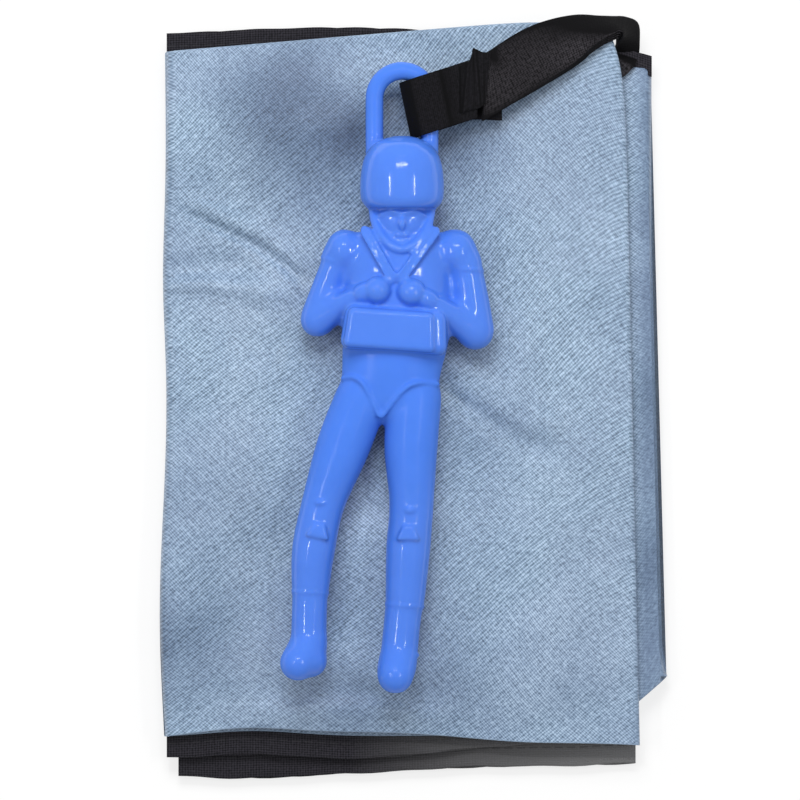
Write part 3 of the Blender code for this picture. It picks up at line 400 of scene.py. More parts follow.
def make_binding():
    """Black hem binding: a matt tape, greyer towards the right end of the lower hems, with a row of
    stitches.
    """
    made, nodes, shader = new_material("black_hem_binding")
    place = nodes.add("ShaderNodeTexCoord")
    weave, tone = woven(nodes, place.outputs["UV"], (2600, 0, 0.8), (2200, 90, 0.5),
                        (2500.0, 3.0, 0.6), 0.45)
    threads = nodes.ramp(tone, ((0.30, (0.007, 0.007, 0.009)), (0.70, (0.034, 0.032, 0.040))))
    where = nodes.parts(place.outputs["Object"])
    low = nodes.math("LESS_THAN", where[1], 0.0)
    # The lower hems turn greyer towards their right end
    right_greying = nodes.ramp(nodes.math("MULTIPLY_ADD", where[0], 12.5, 0.5), ((0.36, 0.0), (0.92, 1.0)))
    greyed_tape = nodes.mix(nodes.math("MULTIPLY", right_greying, nodes.math("MULTIPLY", low, 0.85)), threads,
                      (0.200, 0.200, 0.203, 1))
    along = nodes.parts(place.outputs["UV"])
    step = nodes.math("FRACT", nodes.math("MULTIPLY", along[0], 480.0))
    stitch = nodes.math("MULTIPLY", nodes.math("LESS_THAN", step, 0.66),
                        nodes.math("LESS_THAN", nodes.math("ABSOLUTE", along[1]), 0.00013))
    colour = nodes.mix(nodes.math("MULTIPLY", stitch, 0.35), greyed_tape, (0.045, 0.045, 0.050, 1))
    nodes.join(colour, shader.inputs["Base Color"])
    height = nodes.math("MULTIPLY_ADD", stitch, 1.2, weave)
    nodes.join(nodes.bump(height, 0.6, 0.00012), shader.inputs["Normal"])
    shader.inputs["Roughness"].default_value = 0.78
    shader.inputs["Specular IOR Level"].default_value = 0.15
    return made


def make_plastic():
    """Moulded soft plastic: glossy at the head and shins, more matt on belly and thighs."""
    made, nodes, shader = new_material("bright_blue_moulded_plastic")
    place = nodes.add("ShaderNodeTexCoord")
    flow = nodes.noise(place.outputs["Object"], 260.0, 2.0)[0]
    fine = nodes.noise(place.outputs["Object"], 2600.0, 2.0)[0]
    colour = nodes.mix(flow, (0.064, 0.193, 0.725, 1), (0.076, 0.218, 0.800, 1))
    nodes.join(colour, shader.inputs["Base Color"])
    down = nodes.math("MULTIPLY_ADD", nodes.parts(place.outputs["Object"])[1], 10.0, 0.5)
    matt = nodes.ramp(down, (
        (0.02, 0.8), (0.12, 0.0), (0.27, 0.0), (0.40, 1.0),
        (0.56, 1.0), (0.60, 0.0), (0.915, 0.0), (0.955, 0.9),
    ))
    rough = nodes.math("MULTIPLY_ADD", fine, 0.02, nodes.math("MULTIPLY_ADD", matt, 0.14, 0.10))
    nodes.join(rough, shader.inputs["Roughness"])
    nodes.join(nodes.math("MULTIPLY_ADD", matt, -0.40, 0.5), shader.inputs["Specular IOR Level"])
    height = nodes.math("MULTIPLY_ADD", fine, 0.04, flow)
    nodes.join(nodes.bump(height, 0.10, 0.0004), shader.inputs["Normal"])
    shader.inputs["Subsurface Weight"].default_value = 0.10
    shader.inputs["Subsurface Radius"].default_value = (0.2, 0.4, 1.0)
    shader.inputs["Subsurface Scale"].default_value = 0.0012
    return made


NYLON = make_nylon()
# Each ribbon's second colour is its painted glint
RIBBON = make_ribbon_material(
    "black_ribbed_ribbon", 2300, (0.0030, 0.0028, 0.0036), (0.040, 0.037, 0.043), 0.72)
SLEEVE = make_ribbon_material(
    "black_sleeve_ribbon", 3000, (0.0022, 0.0022, 0.0028), (0.0095, 0.0090, 0.0118), 0.75)
BINDING = make_binding()
PLASTIC = make_plastic()


# Camera, floor and light

# The picture's side in pixels, pixels to a metre, the lens in millimetres and the point looked at
PICTURE_SIDE = 800
PIXELS_PER_METRE = 6040
LENS = 500
SENSOR = 36
LOOKED_AT = (-0.0026434, -0.000617, 0.008)
# Lamps over the middle: place, size and power
LAMPS = (
    ("left_strip", (-0.33, 0.02, 0.58), (0.22, 0.016), 0.52),
    ("right_strip", (0.33, 0.02, 0.58), (0.22, 0.016), 0.52),
    ("top_strip", (0.0, 0.29, 0.58), (0.30, 0.016), 0.52),
    ("upper_box", (-0.05, 0.36, 0.54), (0.26, 0.26), 2.2),
)
ROOM_LIGHT = 0.47


def add_lamp(name, place, size, power):
    data = bpy.data.lights.new(name, "AREA")
    data.shape = "RECTANGLE"
    data.size, data.size_y = size
    data.energy = power
    lamp = bpy.data.objects.new(name, data)
    bpy.context.scene.collection.objects.link(lamp)
    lamp.location = place
    lamp.rotation_euler = (Vector((0, 0, 0)) - Vector(place)).to_track_quat("-Z", "Y").to_euler()
    return lamp


def make_stage():
    deselect()
    bpy.ops.mesh.primitive_plane_add(size=3.0, location=(0, 0, 0))
    floor = bpy.context.object
    floor.name = "studio_floor"
    made, nodes, shader = new_material("white_paper_floor")
    shader.inputs["Base Color"].default_value = (0.93, 0.93, 0.93, 1)
    shader.inputs["Roughness"].default_value = 0.9
    shader.inputs["Specular IOR Level"].default_value = 0.1
    glow = nodes.add("ShaderNodeEmission")
    rays = nodes.add("ShaderNodeLightPath")
    share = nodes.math("MULTIPLY", rays.outputs["Is Camera Ray"], 0.75)
    blend = nodes.add("ShaderNodeMixShader")
    nodes.join(share, blend.inputs[0])
    nodes.join(shader.outputs[0], blend.inputs[1])
    nodes.join(glow.outputs[0], blend.inputs[2])
    out = [n for n in made.node_tree.nodes if n.type == "OUTPUT_MATERIAL"][0]
    nodes.join(blend.outputs[0], out.inputs[0])
    floor.data.materials.append(made)

    camera_data = bpy.data.cameras.new("camera")
    camera = bpy.data.objects.new("camera", camera_data)
    bpy.context.scene.collection.objects.link(camera)
    camera_data.lens = LENS
    camera_data.sensor_width = SENSOR
    x, y, z = LOOKED_AT
    camera.location = (x, y, z + PICTURE_SIDE / PIXELS_PER_METRE * LENS / SENSOR)
    camera_data.clip_end = 20
    bpy.context.scene.camera = camera

    lamps = [add_lamp(*row) for row in LAMPS]
    lamps[-1].visible_glossy = False

    world = bpy.data.worlds.new("soft_studio")
    world.use_nodes = True
    bpy.context.scene.world = world
    background = world.node_tree.nodes["Background"]
    background.inputs["Color"].default_value = (1, 1, 1, 1)
    background.inputs["Strength"].default_value = ROOM_LIGHT
    bpy.context.scene.view_settings.view_transform = "Standard"


make_stage()


# Folded canopy

# Bends of the leaves' edges, each by its middle and width as shares of the edge's length: two
# bulges up the left edge, after how far each stands out, and the bottom edge's rise and dip
LEFT_BULGES = ((0.0175, 0.18, 0.20), (0.0085, 0.67, 0.12))
RISE_BEND = (0.17, 0.13)
DIP_BEND = (0.74, 0.17)
# How sharply the right and the top edge's bows end at the corner
RIGHT_END_POWER = 22
TOP_END_POWER = 12
# The turned up corner: two slopes along the bottom edge, as part of the turn, start and end
TURNED_SLOPES = ((0.55, 0.86, 0.94), (0.45, 0.94, 1.0))


def swell(share, middle, width):
    """A smooth hump: 1 at its middle, next to nothing two widths away."""
    return np.exp(-((share - middle) / width) ** 2)


def plan(outline, bows, u, v):
    """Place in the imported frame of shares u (left to right) and v (bottom to top) of a leaf."""
    top_left, top_right, bottom_right, bottom_left = outline
    top_bow, slant, bottom_bow, rise, dip, left_bow, right_bow, turn_up = bows
    x = lerp(lerp(bottom_left[0], bottom_right[0], u), lerp(top_left[0], top_right[0], u), v)
    y = lerp(lerp(bottom_left[1], bottom_right[1], u), lerp(top_left[1], top_right[1], u), v)
    hump = np.sin(np.pi * np.clip(u, 0, 1))
    x = x + right_bow * u * (1 - np.clip(v, 0, 1) ** RIGHT_END_POWER)
    bulge = sum(out * swell(v, *bend) for out, *bend in LEFT_BULGES)
    x = x - left_bow * bulge * (1 - u)
    y = y + (top_bow * hump + slant * u * (1 - np.clip(u, 0, 1) ** TOP_END_POWER)) * v
    wave = rise * swell(u, *RISE_BEND) - dip * swell(u, *DIP_BEND)
    y = y + (bottom_bow * hump + wave) * (1 - v)
    turned = sum(part * np.clip((u - start) / (end - start), 0, 1) for part, start, end in TURNED_SLOPES)
    y = y + turn_up * (1 - v) * turned
    return x * FOLDED_WIDTH + PACKET_X, y * FOLDED_HEIGHT + PACKET_Y


# The ribbons' way from the corner turn to the hanks under the top leaf, as places, heading
# in degrees, and share of the ribbon's width
LINK_STATIONS = (
    (0.03450, 0.05560, 0.00540, -118, 0.40),
    (0.03350, 0.05475, 0.00535, -146, 0.42),
    (0.03180, 0.05405, 0.00532, -165, 0.52),
    (0.02960, 0.05290, 0.00532, -170, 0.80),
    (0.02650, 0.05200, 0.00532, -174, 1.00),
    (0.02150, 0.05110, 0.00532, -178, 1.00),
    (0.01720, 0.05040, 0.00532, -175, 1.00),
    (0.01370, 0.04900, 0.00532, -150, 1.00),
    (0.01120, 0.04620, 0.00532, -118, 1.00),
)
LINK_LIFT = 0.00075
# Lift of the top leaf over the hanks, and how near the leaf's edges it ends, as a share
DOME_HEIGHT = 0.0022
DOME_END = 0.97


def dome(x, y):
    """How far the top leaf is lifted over the ribbons packed under it."""
    across = HANK_RUNS * (RIBBON_WIDTH + HANK_SIDE_GAP) / FOLDED_WIDTH
    along = (HANK_RUN + 2 * RIBBON_PITCH) / FOLDED_HEIGHT
    over = falling(np.abs(x - PACKET_X) * 2 / FOLDED_WIDTH, across, DOME_END)
    over = over * falling(np.abs(y - PACKET_Y) * 2 / FOLDED_HEIGHT, along, DOME_END)
    hanks = DOME_HEIGHT * over
    away = np.full(np.shape(x), 1.0)
    for a, b in zip(LINK_STATIONS[:-1], LINK_STATIONS[1:]):
        for share in (0.0, 0.5, 1.0):
            link_x, link_y = lerp(a[0], b[0], share), lerp(a[1], b[1], share)
            away = np.minimum(away, np.hypot(x - link_x, y - link_y))
    return np.maximum(hanks, LINK_LIFT * falling(away, RIBBON_WIDTH * 0.45, RIBBON_WIDTH * 1.1))


# Folds pressed into the top leaf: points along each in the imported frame, its depth (below zero
# for a ridge) and its width at the start and at the end
FOLDS = (
    (((-0.0385, 0.0306), (-0.0306, 0.0269), (-0.0260, 0.0247), (-0.0222, 0.0220), (-0.0186, 0.0190)),
     0.00150, 0.0006, 0.0009),
    (((-0.0385, 0.0326), (-0.0300, 0.0290), (-0.0250, 0.0265), (-0.0200, 0.0225)),
     -0.00080, 0.0013, 0.0018),
    (((-0.0412, 0.0182), (-0.0350, 0.0187), (-0.0275, 0.0180), (-0.0220, 0.0165)),
     -0.00110, 0.0010, 0.0022),
    (((-0.0405, 0.0212), (-0.0345, 0.0216), (-0.0270, 0.0214)), 0.00110, 0.0014, 0.0022),
    (((-0.0330, 0.0090), (-0.0275, 0.0078), (-0.0215, 0.0060)), 0.00055, 0.0026, 0.0030),
    (((0.0048, 0.0010), (0.0105, -0.0030), (0.0165, -0.0075), (0.0214, -0.0097)),
     0.00100, 0.0009, 0.0018),
    (((0.0060, 0.0045), (0.0120, 0.0010), (0.0190, -0.0035), (0.0245, -0.0060)),
     -0.00080, 0.0016, 0.0026),
    (((-0.0300, -0.0528), (-0.0150, -0.0520), (0.0000, -0.0526), (0.0060, -0.0528)),
     -0.00060, 0.0024, 0.0024),
    (((-0.0240, -0.0495), (-0.0120, -0.0488), (0.0010, -0.0498)), 0.00065, 0.0020, 0.0024),
)
# Deepest press that keeps the plies apart, and how much wider the folds are in the plies below
DEEPEST = 0.0013
UNDER_WIDENING = 0.0022
# How far over the domed leaf's flat top its folds and waves may stand
PROUD = 0.00012


def pressed(x, y, widening):
    """Height that the folds and soft waves give a ply of the top leaf."""
    height = np.zeros_like(x)
    for points, depth, start_width, end_width in FOLDS:
        if widening and depth < 0:
            continue
        rows = np.array(points)
        steps = len(rows) - 1
        nearest = np.full(x.shape, 1e9)
        along = np.zeros_like(x)
        for i, (a, b) in enumerate(zip(rows[:-1], rows[1:])):
            run = b - a
            share = np.clip(((x - a[0]) * run[0] + (y - a[1]) * run[1]) / (run @ run), 0, 1)
            away = np.hypot(x - a[0] - share * run[0], y - a[1] - share * run[1])
            closer = away < nearest
            nearest = np.where(closer, away, nearest)
            along = np.where(closer, (i + share) / steps, along)
        width = lerp(start_width, end_width, along) + widening
        fade = np.clip(np.minimum(along, 1 - along) * 5 + 0.25, 0, 1)
        height -= depth * fade * np.exp(-(nearest / width) ** 2)
    broad_wave = np.sin(x * 150 + y * 70 + 0.6) * np.sin(y * 120 - x * 50 + 1.3) - 1
    small_wave = np.sin(x * 330 - y * 250 + 2.0) * np.sin(y * 260 + x * 120)
    height += 0.00030 * broad_wave + 0.00012 * small_wave
    return DEEPEST * np.tanh(height / DEEPEST)


def down_the_cut(ply_cells, pitch):
    """Folding of the cut's length in four: shares (v, height in plies, place on the cut)."""
    heights = (3, 0, 1, 2)
    rows = []
    for ply, height in enumerate(heights):
        start_v, end_v = (0, 1) if ply % 2 == 0 else (1, 0)
        before = 0.0 if ply == 0 else bend_reach(heights[ply - 1], height, pitch)
        after = 0.0 if ply == 3 else bend_reach(height, heights[ply + 1], pitch)
        way = end_v - start_v
        first = start_v + way * before / FOLDED_HEIGHT
        last = end_v - way * after / FOLDED_HEIGHT
        for share in np.linspace(0, 1, ply_cells[ply] + 1):
            rows.append((lerp(first, last, share), height, (ply + lerp(0.01, 0.99, share)) / 4))
        if ply < 3:
            reach = after / FOLDED_HEIGHT
            for turn in np.linspace(0, math.pi, 9)[1:-1]:
                rows.append((end_v - way * reach * (1 - math.sin(turn)),
                             lerp(height, heights[ply + 1], (1 - math.cos(turn)) / 2),
                             (ply + 0.99 + 0.02 * turn / math.pi) / 4))
    return np.array(rows).T


# A fold's reach as part of its half height, within a leaf and in the creases between leaves, the
# least reach, and the middle of a leaf's plies
FOLD_REACH = 0.8
CREASE_REACH = 0.55
LEAST_REACH = 0.00018
MIDDLE_PLY = (PLIES - 1) / 2


def bend_reach(a, b, pitch):
    """How far a fold between plies a and b stands past the straight cloth."""
    return max(abs(a - b) * pitch / 2 * FOLD_REACH, LEAST_REACH)


LEAVES = ((BOTTOM_OUTLINE, BOTTOM_BOWS), (MIDDLE_OUTLINE, MIDDLE_BOWS), (TOP_OUTLINE, TOP_BOWS))


def ply_level(leaf, height):
    """Height of a ply above the floor in a leaf, before it is domed."""
    share = (height + 0.5) / PLIES
    if leaf == 1:
        share = 1 - share
    return LEAF_BASES[leaf] + LEAF_THICKNESS * share


def side_fold(leaf, other, side, height, v, turn):
    """A ply's place in the crease that joins two leaves, from the crease's middle inward."""
    u = 1.0 if side > 0 else 0.0
    x, y = plan(*LEAVES[leaf], u, v)
    other_x, other_y = plan(*LEAVES[other], u, v)
    level = ply_level(leaf, height)
    middle = (level + ply_level(other, height)) / 2
    reach = np.abs(level - middle) * CREASE_REACH
    inward = 1 - np.sin(turn)
    start, end = (0.08, 0.16) if leaf == 0 else (0.0, 0.12)
    together = np.clip((v - start) / (end - start), 0, 1) / 2 if side > 0 else 0.5
    edge_x = lerp(x, other_x, together)
    edge_y = lerp(y, other_y, together)
    return (lerp(edge_x, x - side * reach, inward), lerp(edge_y, y, inward),
            lerp(middle, level, -np.cos(turn)))


def folded_sheet(name, leaf, strips, cells_across, ply_cells):
    """One leaf of the canopy: strips of the cut, each given by where it starts and ends."""
    pitch = LEAF_THICKNESS / PLIES
    v_row, height_row, cut_row = down_the_cut(ply_cells, pitch)
    joined = []
    for strip in strips:
        columns = strip_columns(leaf, strip, cells_across)
        deselect()
        bpy.ops.mesh.primitive_grid_add(
            x_subdivisions=len(columns) - 1, y_subdivisions=len(v_row) - 1, size=2)
        sheet = bpy.context.object
        mesh = sheet.data
        flat = np.zeros(len(mesh.vertices) * 3, np.float32)
        mesh.vertices.foreach_get("co", flat)
        flat = flat.reshape(-1, 3)
        column = np.rint((flat[:, 0] + 1) / 2 * (len(columns) - 1)).astype(int)
        row = np.rint((flat[:, 1] + 1) / 2 * (len(v_row) - 1)).astype(int)
        places = np.zeros((len(columns), len(v_row), 3))
        for i, (kind, value, side) in enumerate(columns):
            places[i] = column_places(leaf, kind, value, side, v_row, height_row, pitch)
        mesh.vertices.foreach_set("co", places[column, row].astype(np.float32).ravel())
        cut_across = lerp(*strip["cut"], along_strip(columns))
        corner_vertex = np.zeros(len(mesh.loops), np.int32)
        mesh.loops.foreach_get("vertex_index", corner_vertex)
        uv = np.stack([cut_across[column], cut_row[row] * CUT_SIDE], axis=1)[corner_vertex]
        mesh.uv_layers.active.data.foreach_set("uv", uv.astype(np.float32).ravel())
        joined.append(sheet)
    activate(joined[0])
    for sheet in joined:
        sheet.select_set(True)
    if len(joined) > 1:
        bpy.ops.object.join()
    made = bpy.context.object
    made.name = name
    made.data.name = name
    bpy.ops.object.shade_smooth()
    made.data.materials.append(NYLON)
    return made


def strip_columns(leaf, strip, cells):
    """The stations across a strip: (kind, value, side), in order from its start."""
    columns = []
    for kind, start, end, side in strip["runs"]:
        count = cells.get(kind, 7)
        values = np.linspace(start, end, count + 1)
        if columns and kind != columns[-1][0]:
            values = values[1:] if kind not in ("lower", "upper") else values
        columns += [(kind, value, side) for value in values]
    return columns


def along_strip(columns):
    """Shares of a strip's way across at its columns, by the cloth that lies between them."""
    steps = [0.0]
    for (kind, value, _), (next_kind, next_value, _) in zip(columns[:-1], columns[1:]):
        straight = kind == next_kind and kind in ("lower", "upper")
        steps.append(abs(next_value - value) * FOLDED_WIDTH if straight else 0.00015)
    return np.cumsum(steps) / sum(steps)


def column_places(leaf, kind, value, side, v, height, pitch):
    """Places of one column of a leaf's sheet, all the way down the cut."""
    stack = height if kind in ("lower", "lower_side", "half_fold") else PLIES - 1 - height
    if kind.endswith("side"):
        other = leaf + 1 if (leaf == 0 or (leaf == 1 and side < 0)) else leaf - 1
        x, y, z = side_fold(leaf, other, side, stack, v, value)
    else:
        if kind == "half_fold":
            stack = MIDDLE_PLY + (height - MIDDLE_PLY) * math.cos(value)
            reach = np.abs(height - MIDDLE_PLY) * pitch * FOLD_REACH / FOLDED_WIDTH
            u = 1 - reach * (1 - math.sin(value))
        else:
            left, right = straight_ends(leaf, stack, pitch)
            u = lerp(left, right, value)
        x, y = plan(*LEAVES[leaf], u, v)
        z = ply_level(leaf, stack)
    if leaf == 2:
        inner = np.clip((x + 0.0400) / 0.004, 0, 1) if kind.endswith("side") else 1.0
        z = z + dome(x, y) * inner
        upper = np.clip(stack - PLIES + 2, 0, 1)
        lift = lerp(pressed(x, y, UNDER_WIDENING), pressed(x, y, 0.0), upper)
        lift = lift * (1 - (1 - stack / (PLIES - 1)) ** 1.5)
        z = np.minimum(z + lift, LEAF_BASES[2] + DOME_HEIGHT + LEAF_THICKNESS + PROUD)
    return np.stack([x, y, z], axis=-1)


def straight_ends(leaf, stack, pitch):
    """Shares of a leaf's width between which a ply lies straight."""
    creases = {0: (None, 1), 1: (2, 0), 2: (1, None)}[leaf]
    ends = []
    for other in creases:
        if other is None:
            reach = np.abs(stack - MIDDLE_PLY) * pitch * FOLD_REACH if leaf == 2 else np.zeros_like(stack)
        else:
            reach = np.abs(ply_level(leaf, stack) - ply_level(other, stack)) / 2 * CREASE_REACH
        ends.append(reach / FOLDED_WIDTH)
    return ends[0], 1 - ends[1]


HALF_TURN = math.pi / 2
top_strip = {"cut": (0.160, 0.320), "runs": (
    ("lower_side", HALF_TURN, math.pi, -1), ("lower", 0, 1, 0), ("half_fold", 0, math.pi, 0),
    ("upper", 1, 0, 0), ("upper_side", math.pi, HALF_TURN, -1))}
middle_strips = (
    {"cut": (0.080, 0.160), "runs": (
        ("lower_side", HALF_TURN, math.pi, 1), ("lower", 1, 0, 0),
        ("lower_side", math.pi, HALF_TURN, -1))},
    {"cut": (0.320, 0.400), "runs": (
        ("upper_side", HALF_TURN, math.pi, -1), ("upper", 0, 1, 0),
        ("upper_side", math.pi, HALF_TURN, 1))},
)
bottom_strips = (
    {"cut": (0.0, 0.080), "runs": (("lower", 0, 1, 0), ("lower_side", math.pi, HALF_TURN, 1))},
    {"cut": (0.400, 0.480), "runs": (("upper_side", HALF_TURN, math.pi, 1), ("upper", 1, 0, 0))},
)
top_sheet = folded_sheet(
    "nylon_top_leaf", 2, (top_strip,), {"lower": 28, "upper": 156}, (30, 200, 80, 30))
middle_sheet = folded_sheet(
    "nylon_middle_leaf", 1, middle_strips, {"lower": 40, "upper": 60}, (50, 90, 50, 50))
bottom_sheet = folded_sheet(
    "nylon_bottom_leaf", 0, bottom_strips, {"lower": 40, "upper": 40}, (50, 50, 50, 50))


# Bands: hems, ribbons and the sleeve

BAND_ACROSS = (-0.96, -0.75, -0.5, -0.25, 0.0, 0.25, 0.5, 0.75, 0.96)
BAND_PROFILE = (
    [(-1.0, -0.25)] + [(across, -0.5) for across in BAND_ACROSS] + [(1.0, -0.25), (1.0, 0.25)]
    + [(across, 0.5) for across in reversed(BAND_ACROSS)] + [(-1.0, 0.25)]
)


def band(name, middles, halves, thickness, material, lift=0.0, curl=0.0):
    """A thin closed strip through places and half widths, with softly rounded edges."""
    middles = np.array(middles, float)
    halves = np.array(halves, float)
    ahead = np.vstack([middles[1:], middles[-1:]]) - np.vstack([middles[:1], middles[:-1]])
    normal = np.cross(ahead, halves)
    normal /= np.linalg.norm(normal, axis=1)[:, None]
    profile = np.array(BAND_PROFILE)
    thickness = np.broadcast_to(thickness, len(middles))[:, None, None]
    drop = np.clip(0.15 - profile[None, :, 0, None], 0, 2) ** 1.8
    lift = (np.broadcast_to(lift, len(middles))[:, None, None]
            - np.broadcast_to(curl, len(middles))[:, None, None] * drop)
    rings = (middles[:, None, :] + halves[:, None, :] * profile[None, :, 0, None]
             + normal[:, None, :] * (lift + profile[None, :, 1, None] * thickness))
    count = len(profile)
    places = rings.reshape(-1, 3)
    faces = []
    for i in range(len(middles) - 1):
        for j in range(count):
            k = (j + 1) % count
            faces.append((i * count + j, i * count + k, (i + 1) * count + k, (i + 1) * count + j))
    faces.append(tuple(range(count))[::-1])
    faces.append(tuple((len(middles) - 1) * count + j for j in range(count)))
    mesh = bpy.data.meshes.new(name)
    mesh.from_pydata(places.tolist(), [], faces)
    made = bpy.data.objects.new(name, mesh)
    bpy.context.scene.collection.objects.link(made)
    length = np.concatenate([[0], np.cumsum(np.linalg.norm(np.diff(middles, axis=0), axis=1))])
    width = np.linalg.norm(halves, axis=1)
    layer = mesh.uv_layers.new(name="along")
    uv = np.zeros((len(mesh.loops), 2), np.float32)
    index = np.zeros(len(mesh.loops), np.int32)
    mesh.loops.foreach_get("vertex_index", index)
    uv[:, 0] = length[index // count]
    uv[:, 1] = width[index // count] * profile[index % count, 0]
    layer.data.foreach_set("uv", uv.ravel())
    mesh.materials.append(material)
    activate(made)
    bpy.ops.object.mode_set(mode="EDIT")
    bpy.ops.mesh.select_all(action="SELECT")
    bpy.ops.mesh.normals_make_consistent(inside=False)
    bpy.ops.object.mode_set(mode="OBJECT")
    bpy.ops.object.shade_smooth_by_angle(angle=math.radians(60))
    return made


def join_as(name, things):
    activate(things[0])
    for thing in things:
        thing.select_set(True)
    bpy.ops.object.join()
    made = bpy.context.object
    made.name = name
    made.data.name = name
    return made


HEM_DEPTH = 0.0031
HEM_INNER = 0.0030
NARROWING = 0.75
HEM_LAYERS = 4
HEM_THICKNESS = 0.00034
HEM_GAP = 0.00002
# How far the tapes reach in over the cloth between the leaves, and at the small corner hem
HEM_BETWEEN = 0.0012
CORNER_INNER = 0.0002
# The corner hem's slant, and the deeper stretch of the bottom hems
CORNER_SLANT = 0.0011
DEEPER = 0.00090
DEEPER_BEND = (0.22, 0.22)


def hem(name, leaf, v, span, seed):
    """The canopy's bound edges where they lie together: four tapes on each other."""
    outward = 1 if v else -1
    at_corner = span[0] > 0.9
    tapes = []
    for layer in range(HEM_LAYERS):
        u = np.linspace(span[0], span[1], 46)
        x, y = plan(*LEAVES[leaf], u, float(v))
        wave = (0.00016 * np.sin(u * 17 + layer * 1.9 + seed)
                + 0.00010 * np.sin(u * 41 + layer * 3.1 + seed))
        narrow = 1 - NARROWING * (1 - falling(u, 0.42, 0.86)) if leaf == 1 and v == 0 else 1.0
        depth = HEM_DEPTH * (0.94 + 0.02 * layer) * narrow + wave
        if v == 0:
            depth = depth + DEEPER * swell(u, *DEEPER_BEND)
        on_top = leaf == 0 and layer == HEM_LAYERS - 1
        inner = HEM_INNER if on_top else HEM_BETWEEN
        inner = CORNER_INNER if at_corner else inner
        middle = y + outward * (depth - inner) / 2
        if at_corner:
            middle = middle - CORNER_SLANT * (u - u[0]) / (u[-1] - u[0])
        pitch = HEM_THICKNESS + HEM_GAP
        z = LEAF_BASES[leaf] + LEAF_THICKNESS / 2 + (layer - (HEM_LAYERS - 1) / 2) * pitch
        z = z + 0.00010 * np.sin(u * 23 + seed) * layer / 3
        if on_top:
            z = np.full_like(u, LEAF_THICKNESS + HEM_THICKNESS / 2)
        middles = np.stack([x, middle, z], axis=1)
        halves = np.stack([0 * u, (depth + inner) / 2, 0 * u], axis=1)
        tapes.append(band(f"{name}_{layer}", middles, halves, HEM_THICKNESS, BINDING))
    return join_as(name, tapes)


bottom_hem = hem("hem_tape_bottom", 0, 0, (0.0, 1.0), 0.4)
middle_hem = hem("hem_tape_middle", 1, 0, (0.0, 0.89), 2.1)
top_hem = hem("hem_tape_top", 1, 1, (0.005, 0.76), 4.0)
corner_hem = hem("hem_tape_corner", 1, 1, (0.925, 1.0), 5.2)


# Suspension ribbons

BAIL_Z = 0.0137
SEAM = Vector((0.01026 + PACKET_X, 0.0512 + PACKET_Y, BAIL_Z))
STRAP_STATIONS = (
    (0.000, 0.000, 1.000, 1.00, 0.0),
    (0.130, 0.012, 0.900, 1.00, 0.0),
    (0.411, 0.048, 0.620, 1.00, 8.0),
    (0.600, 0.058, 0.460, 0.90, 17.0),
    (0.762, 0.055, 0.340, 0.72, 28.0),
    (0.898, 0.030, 0.170, 0.50, 40.0),
    (1.000, 0.000, 0.000, 0.42, 50.0),
)
TURN_STATIONS = (
    (0.05, 0.00, 0.00, -4.0, 1.00, 1.00),
    (0.11, -0.01, -0.01, -18.0, 0.98, 1.00),
    (0.165, -0.06, -0.04, -48.0, 0.90, 1.00),
    (0.200, -0.14, -0.11, -76.0, 0.74, 0.90),
    (0.210, -0.25, -0.22, -90.0, 0.50, 0.65),
    (0.205, -0.37, -0.33, -94.0, 0.25, 0.45),
    (0.190, -0.48, -0.42, -100.0, 0.05, 0.36),
)
corner_tilt = math.radians(STRAP_STATIONS[-1][4])
stack_height = (RIBBON_COUNT - 1) * RIBBON_PITCH + 0.0003
corner_rise = (RIBBON_WIDTH * STRAP_STATIONS[-1][3] / 2 * math.sin(corner_tilt)
               + stack_height / 2 * math.cos(corner_tilt))
CORNER = Vector((0.0333 + PACKET_X, 0.0614 + PACKET_Y, LEAF_BASES[2] + LEAF_GAP + corner_rise))


def tilted_half(heading, width, tilt):
    flat = width / 2 * math.cos(tilt)
    return Vector((-math.sin(heading) * flat, math.cos(heading) * flat, -width / 2 * math.sin(tilt)))


def strap_path(start, end):
    """The visible stretch: places and half widths from the seam to the packet's corner."""
    span = (end - start).xy
    left = Vector((-span.y, span.x))
    rows = through(STRAP_STATIONS, 8)
    middles = []
    for along, aside, climb, _, _ in rows:
        place = start.xy + span * along + left * aside
        middles.append(Vector((place.x, place.y, lerp(end.z, start.z, climb))))
    halves = []
    for i, (_, _, _, width_share, tilt) in enumerate(rows):
        run = middles[min(i + 1, len(rows) - 1)] - middles[max(i - 1, 0)]
        heading = math.atan2(run.y, run.x)
        half = tilted_half(heading, RIBBON_WIDTH * width_share, math.radians(tilt))
        upright = Vector((0, half.y / math.cos(heading) ** 2, half.z))
        from_start = (middles[i] - middles[0]).length
        halves.append(upright.lerp(half, min(from_start / (RIBBON_WIDTH / 2), 1)))
    return middles, halves


# The fold at the corner makes the bend wider: how much, at which heading, and over how many degrees
CORNER_FOLD = 0.20
CORNER_FOLD_HEADING = -47
CORNER_FOLD_SPREAD = 22


def turn_path(corner):
    """The bend at the packet's corner: places, half widths and shares of the stack's height."""
    middles, halves, squeezes = [], [], []
    width = RIBBON_WIDTH * STRAP_STATIONS[-1][3]
    for x, y, z, heading, tilt_share, squeeze in through(TURN_STATIONS, 4):
        half = tilted_half(math.radians(heading), width, corner_tilt * tilt_share)
        corner_fold = CORNER_FOLD * swell(heading, CORNER_FOLD_HEADING, CORNER_FOLD_SPREAD)
        middles.append(corner + Vector((x, y, z)) * RIBBON_WIDTH + half * corner_fold)
        halves.append(half * (1 + corner_fold))
        squeezes.append(squeeze)
    return middles, halves, squeezes


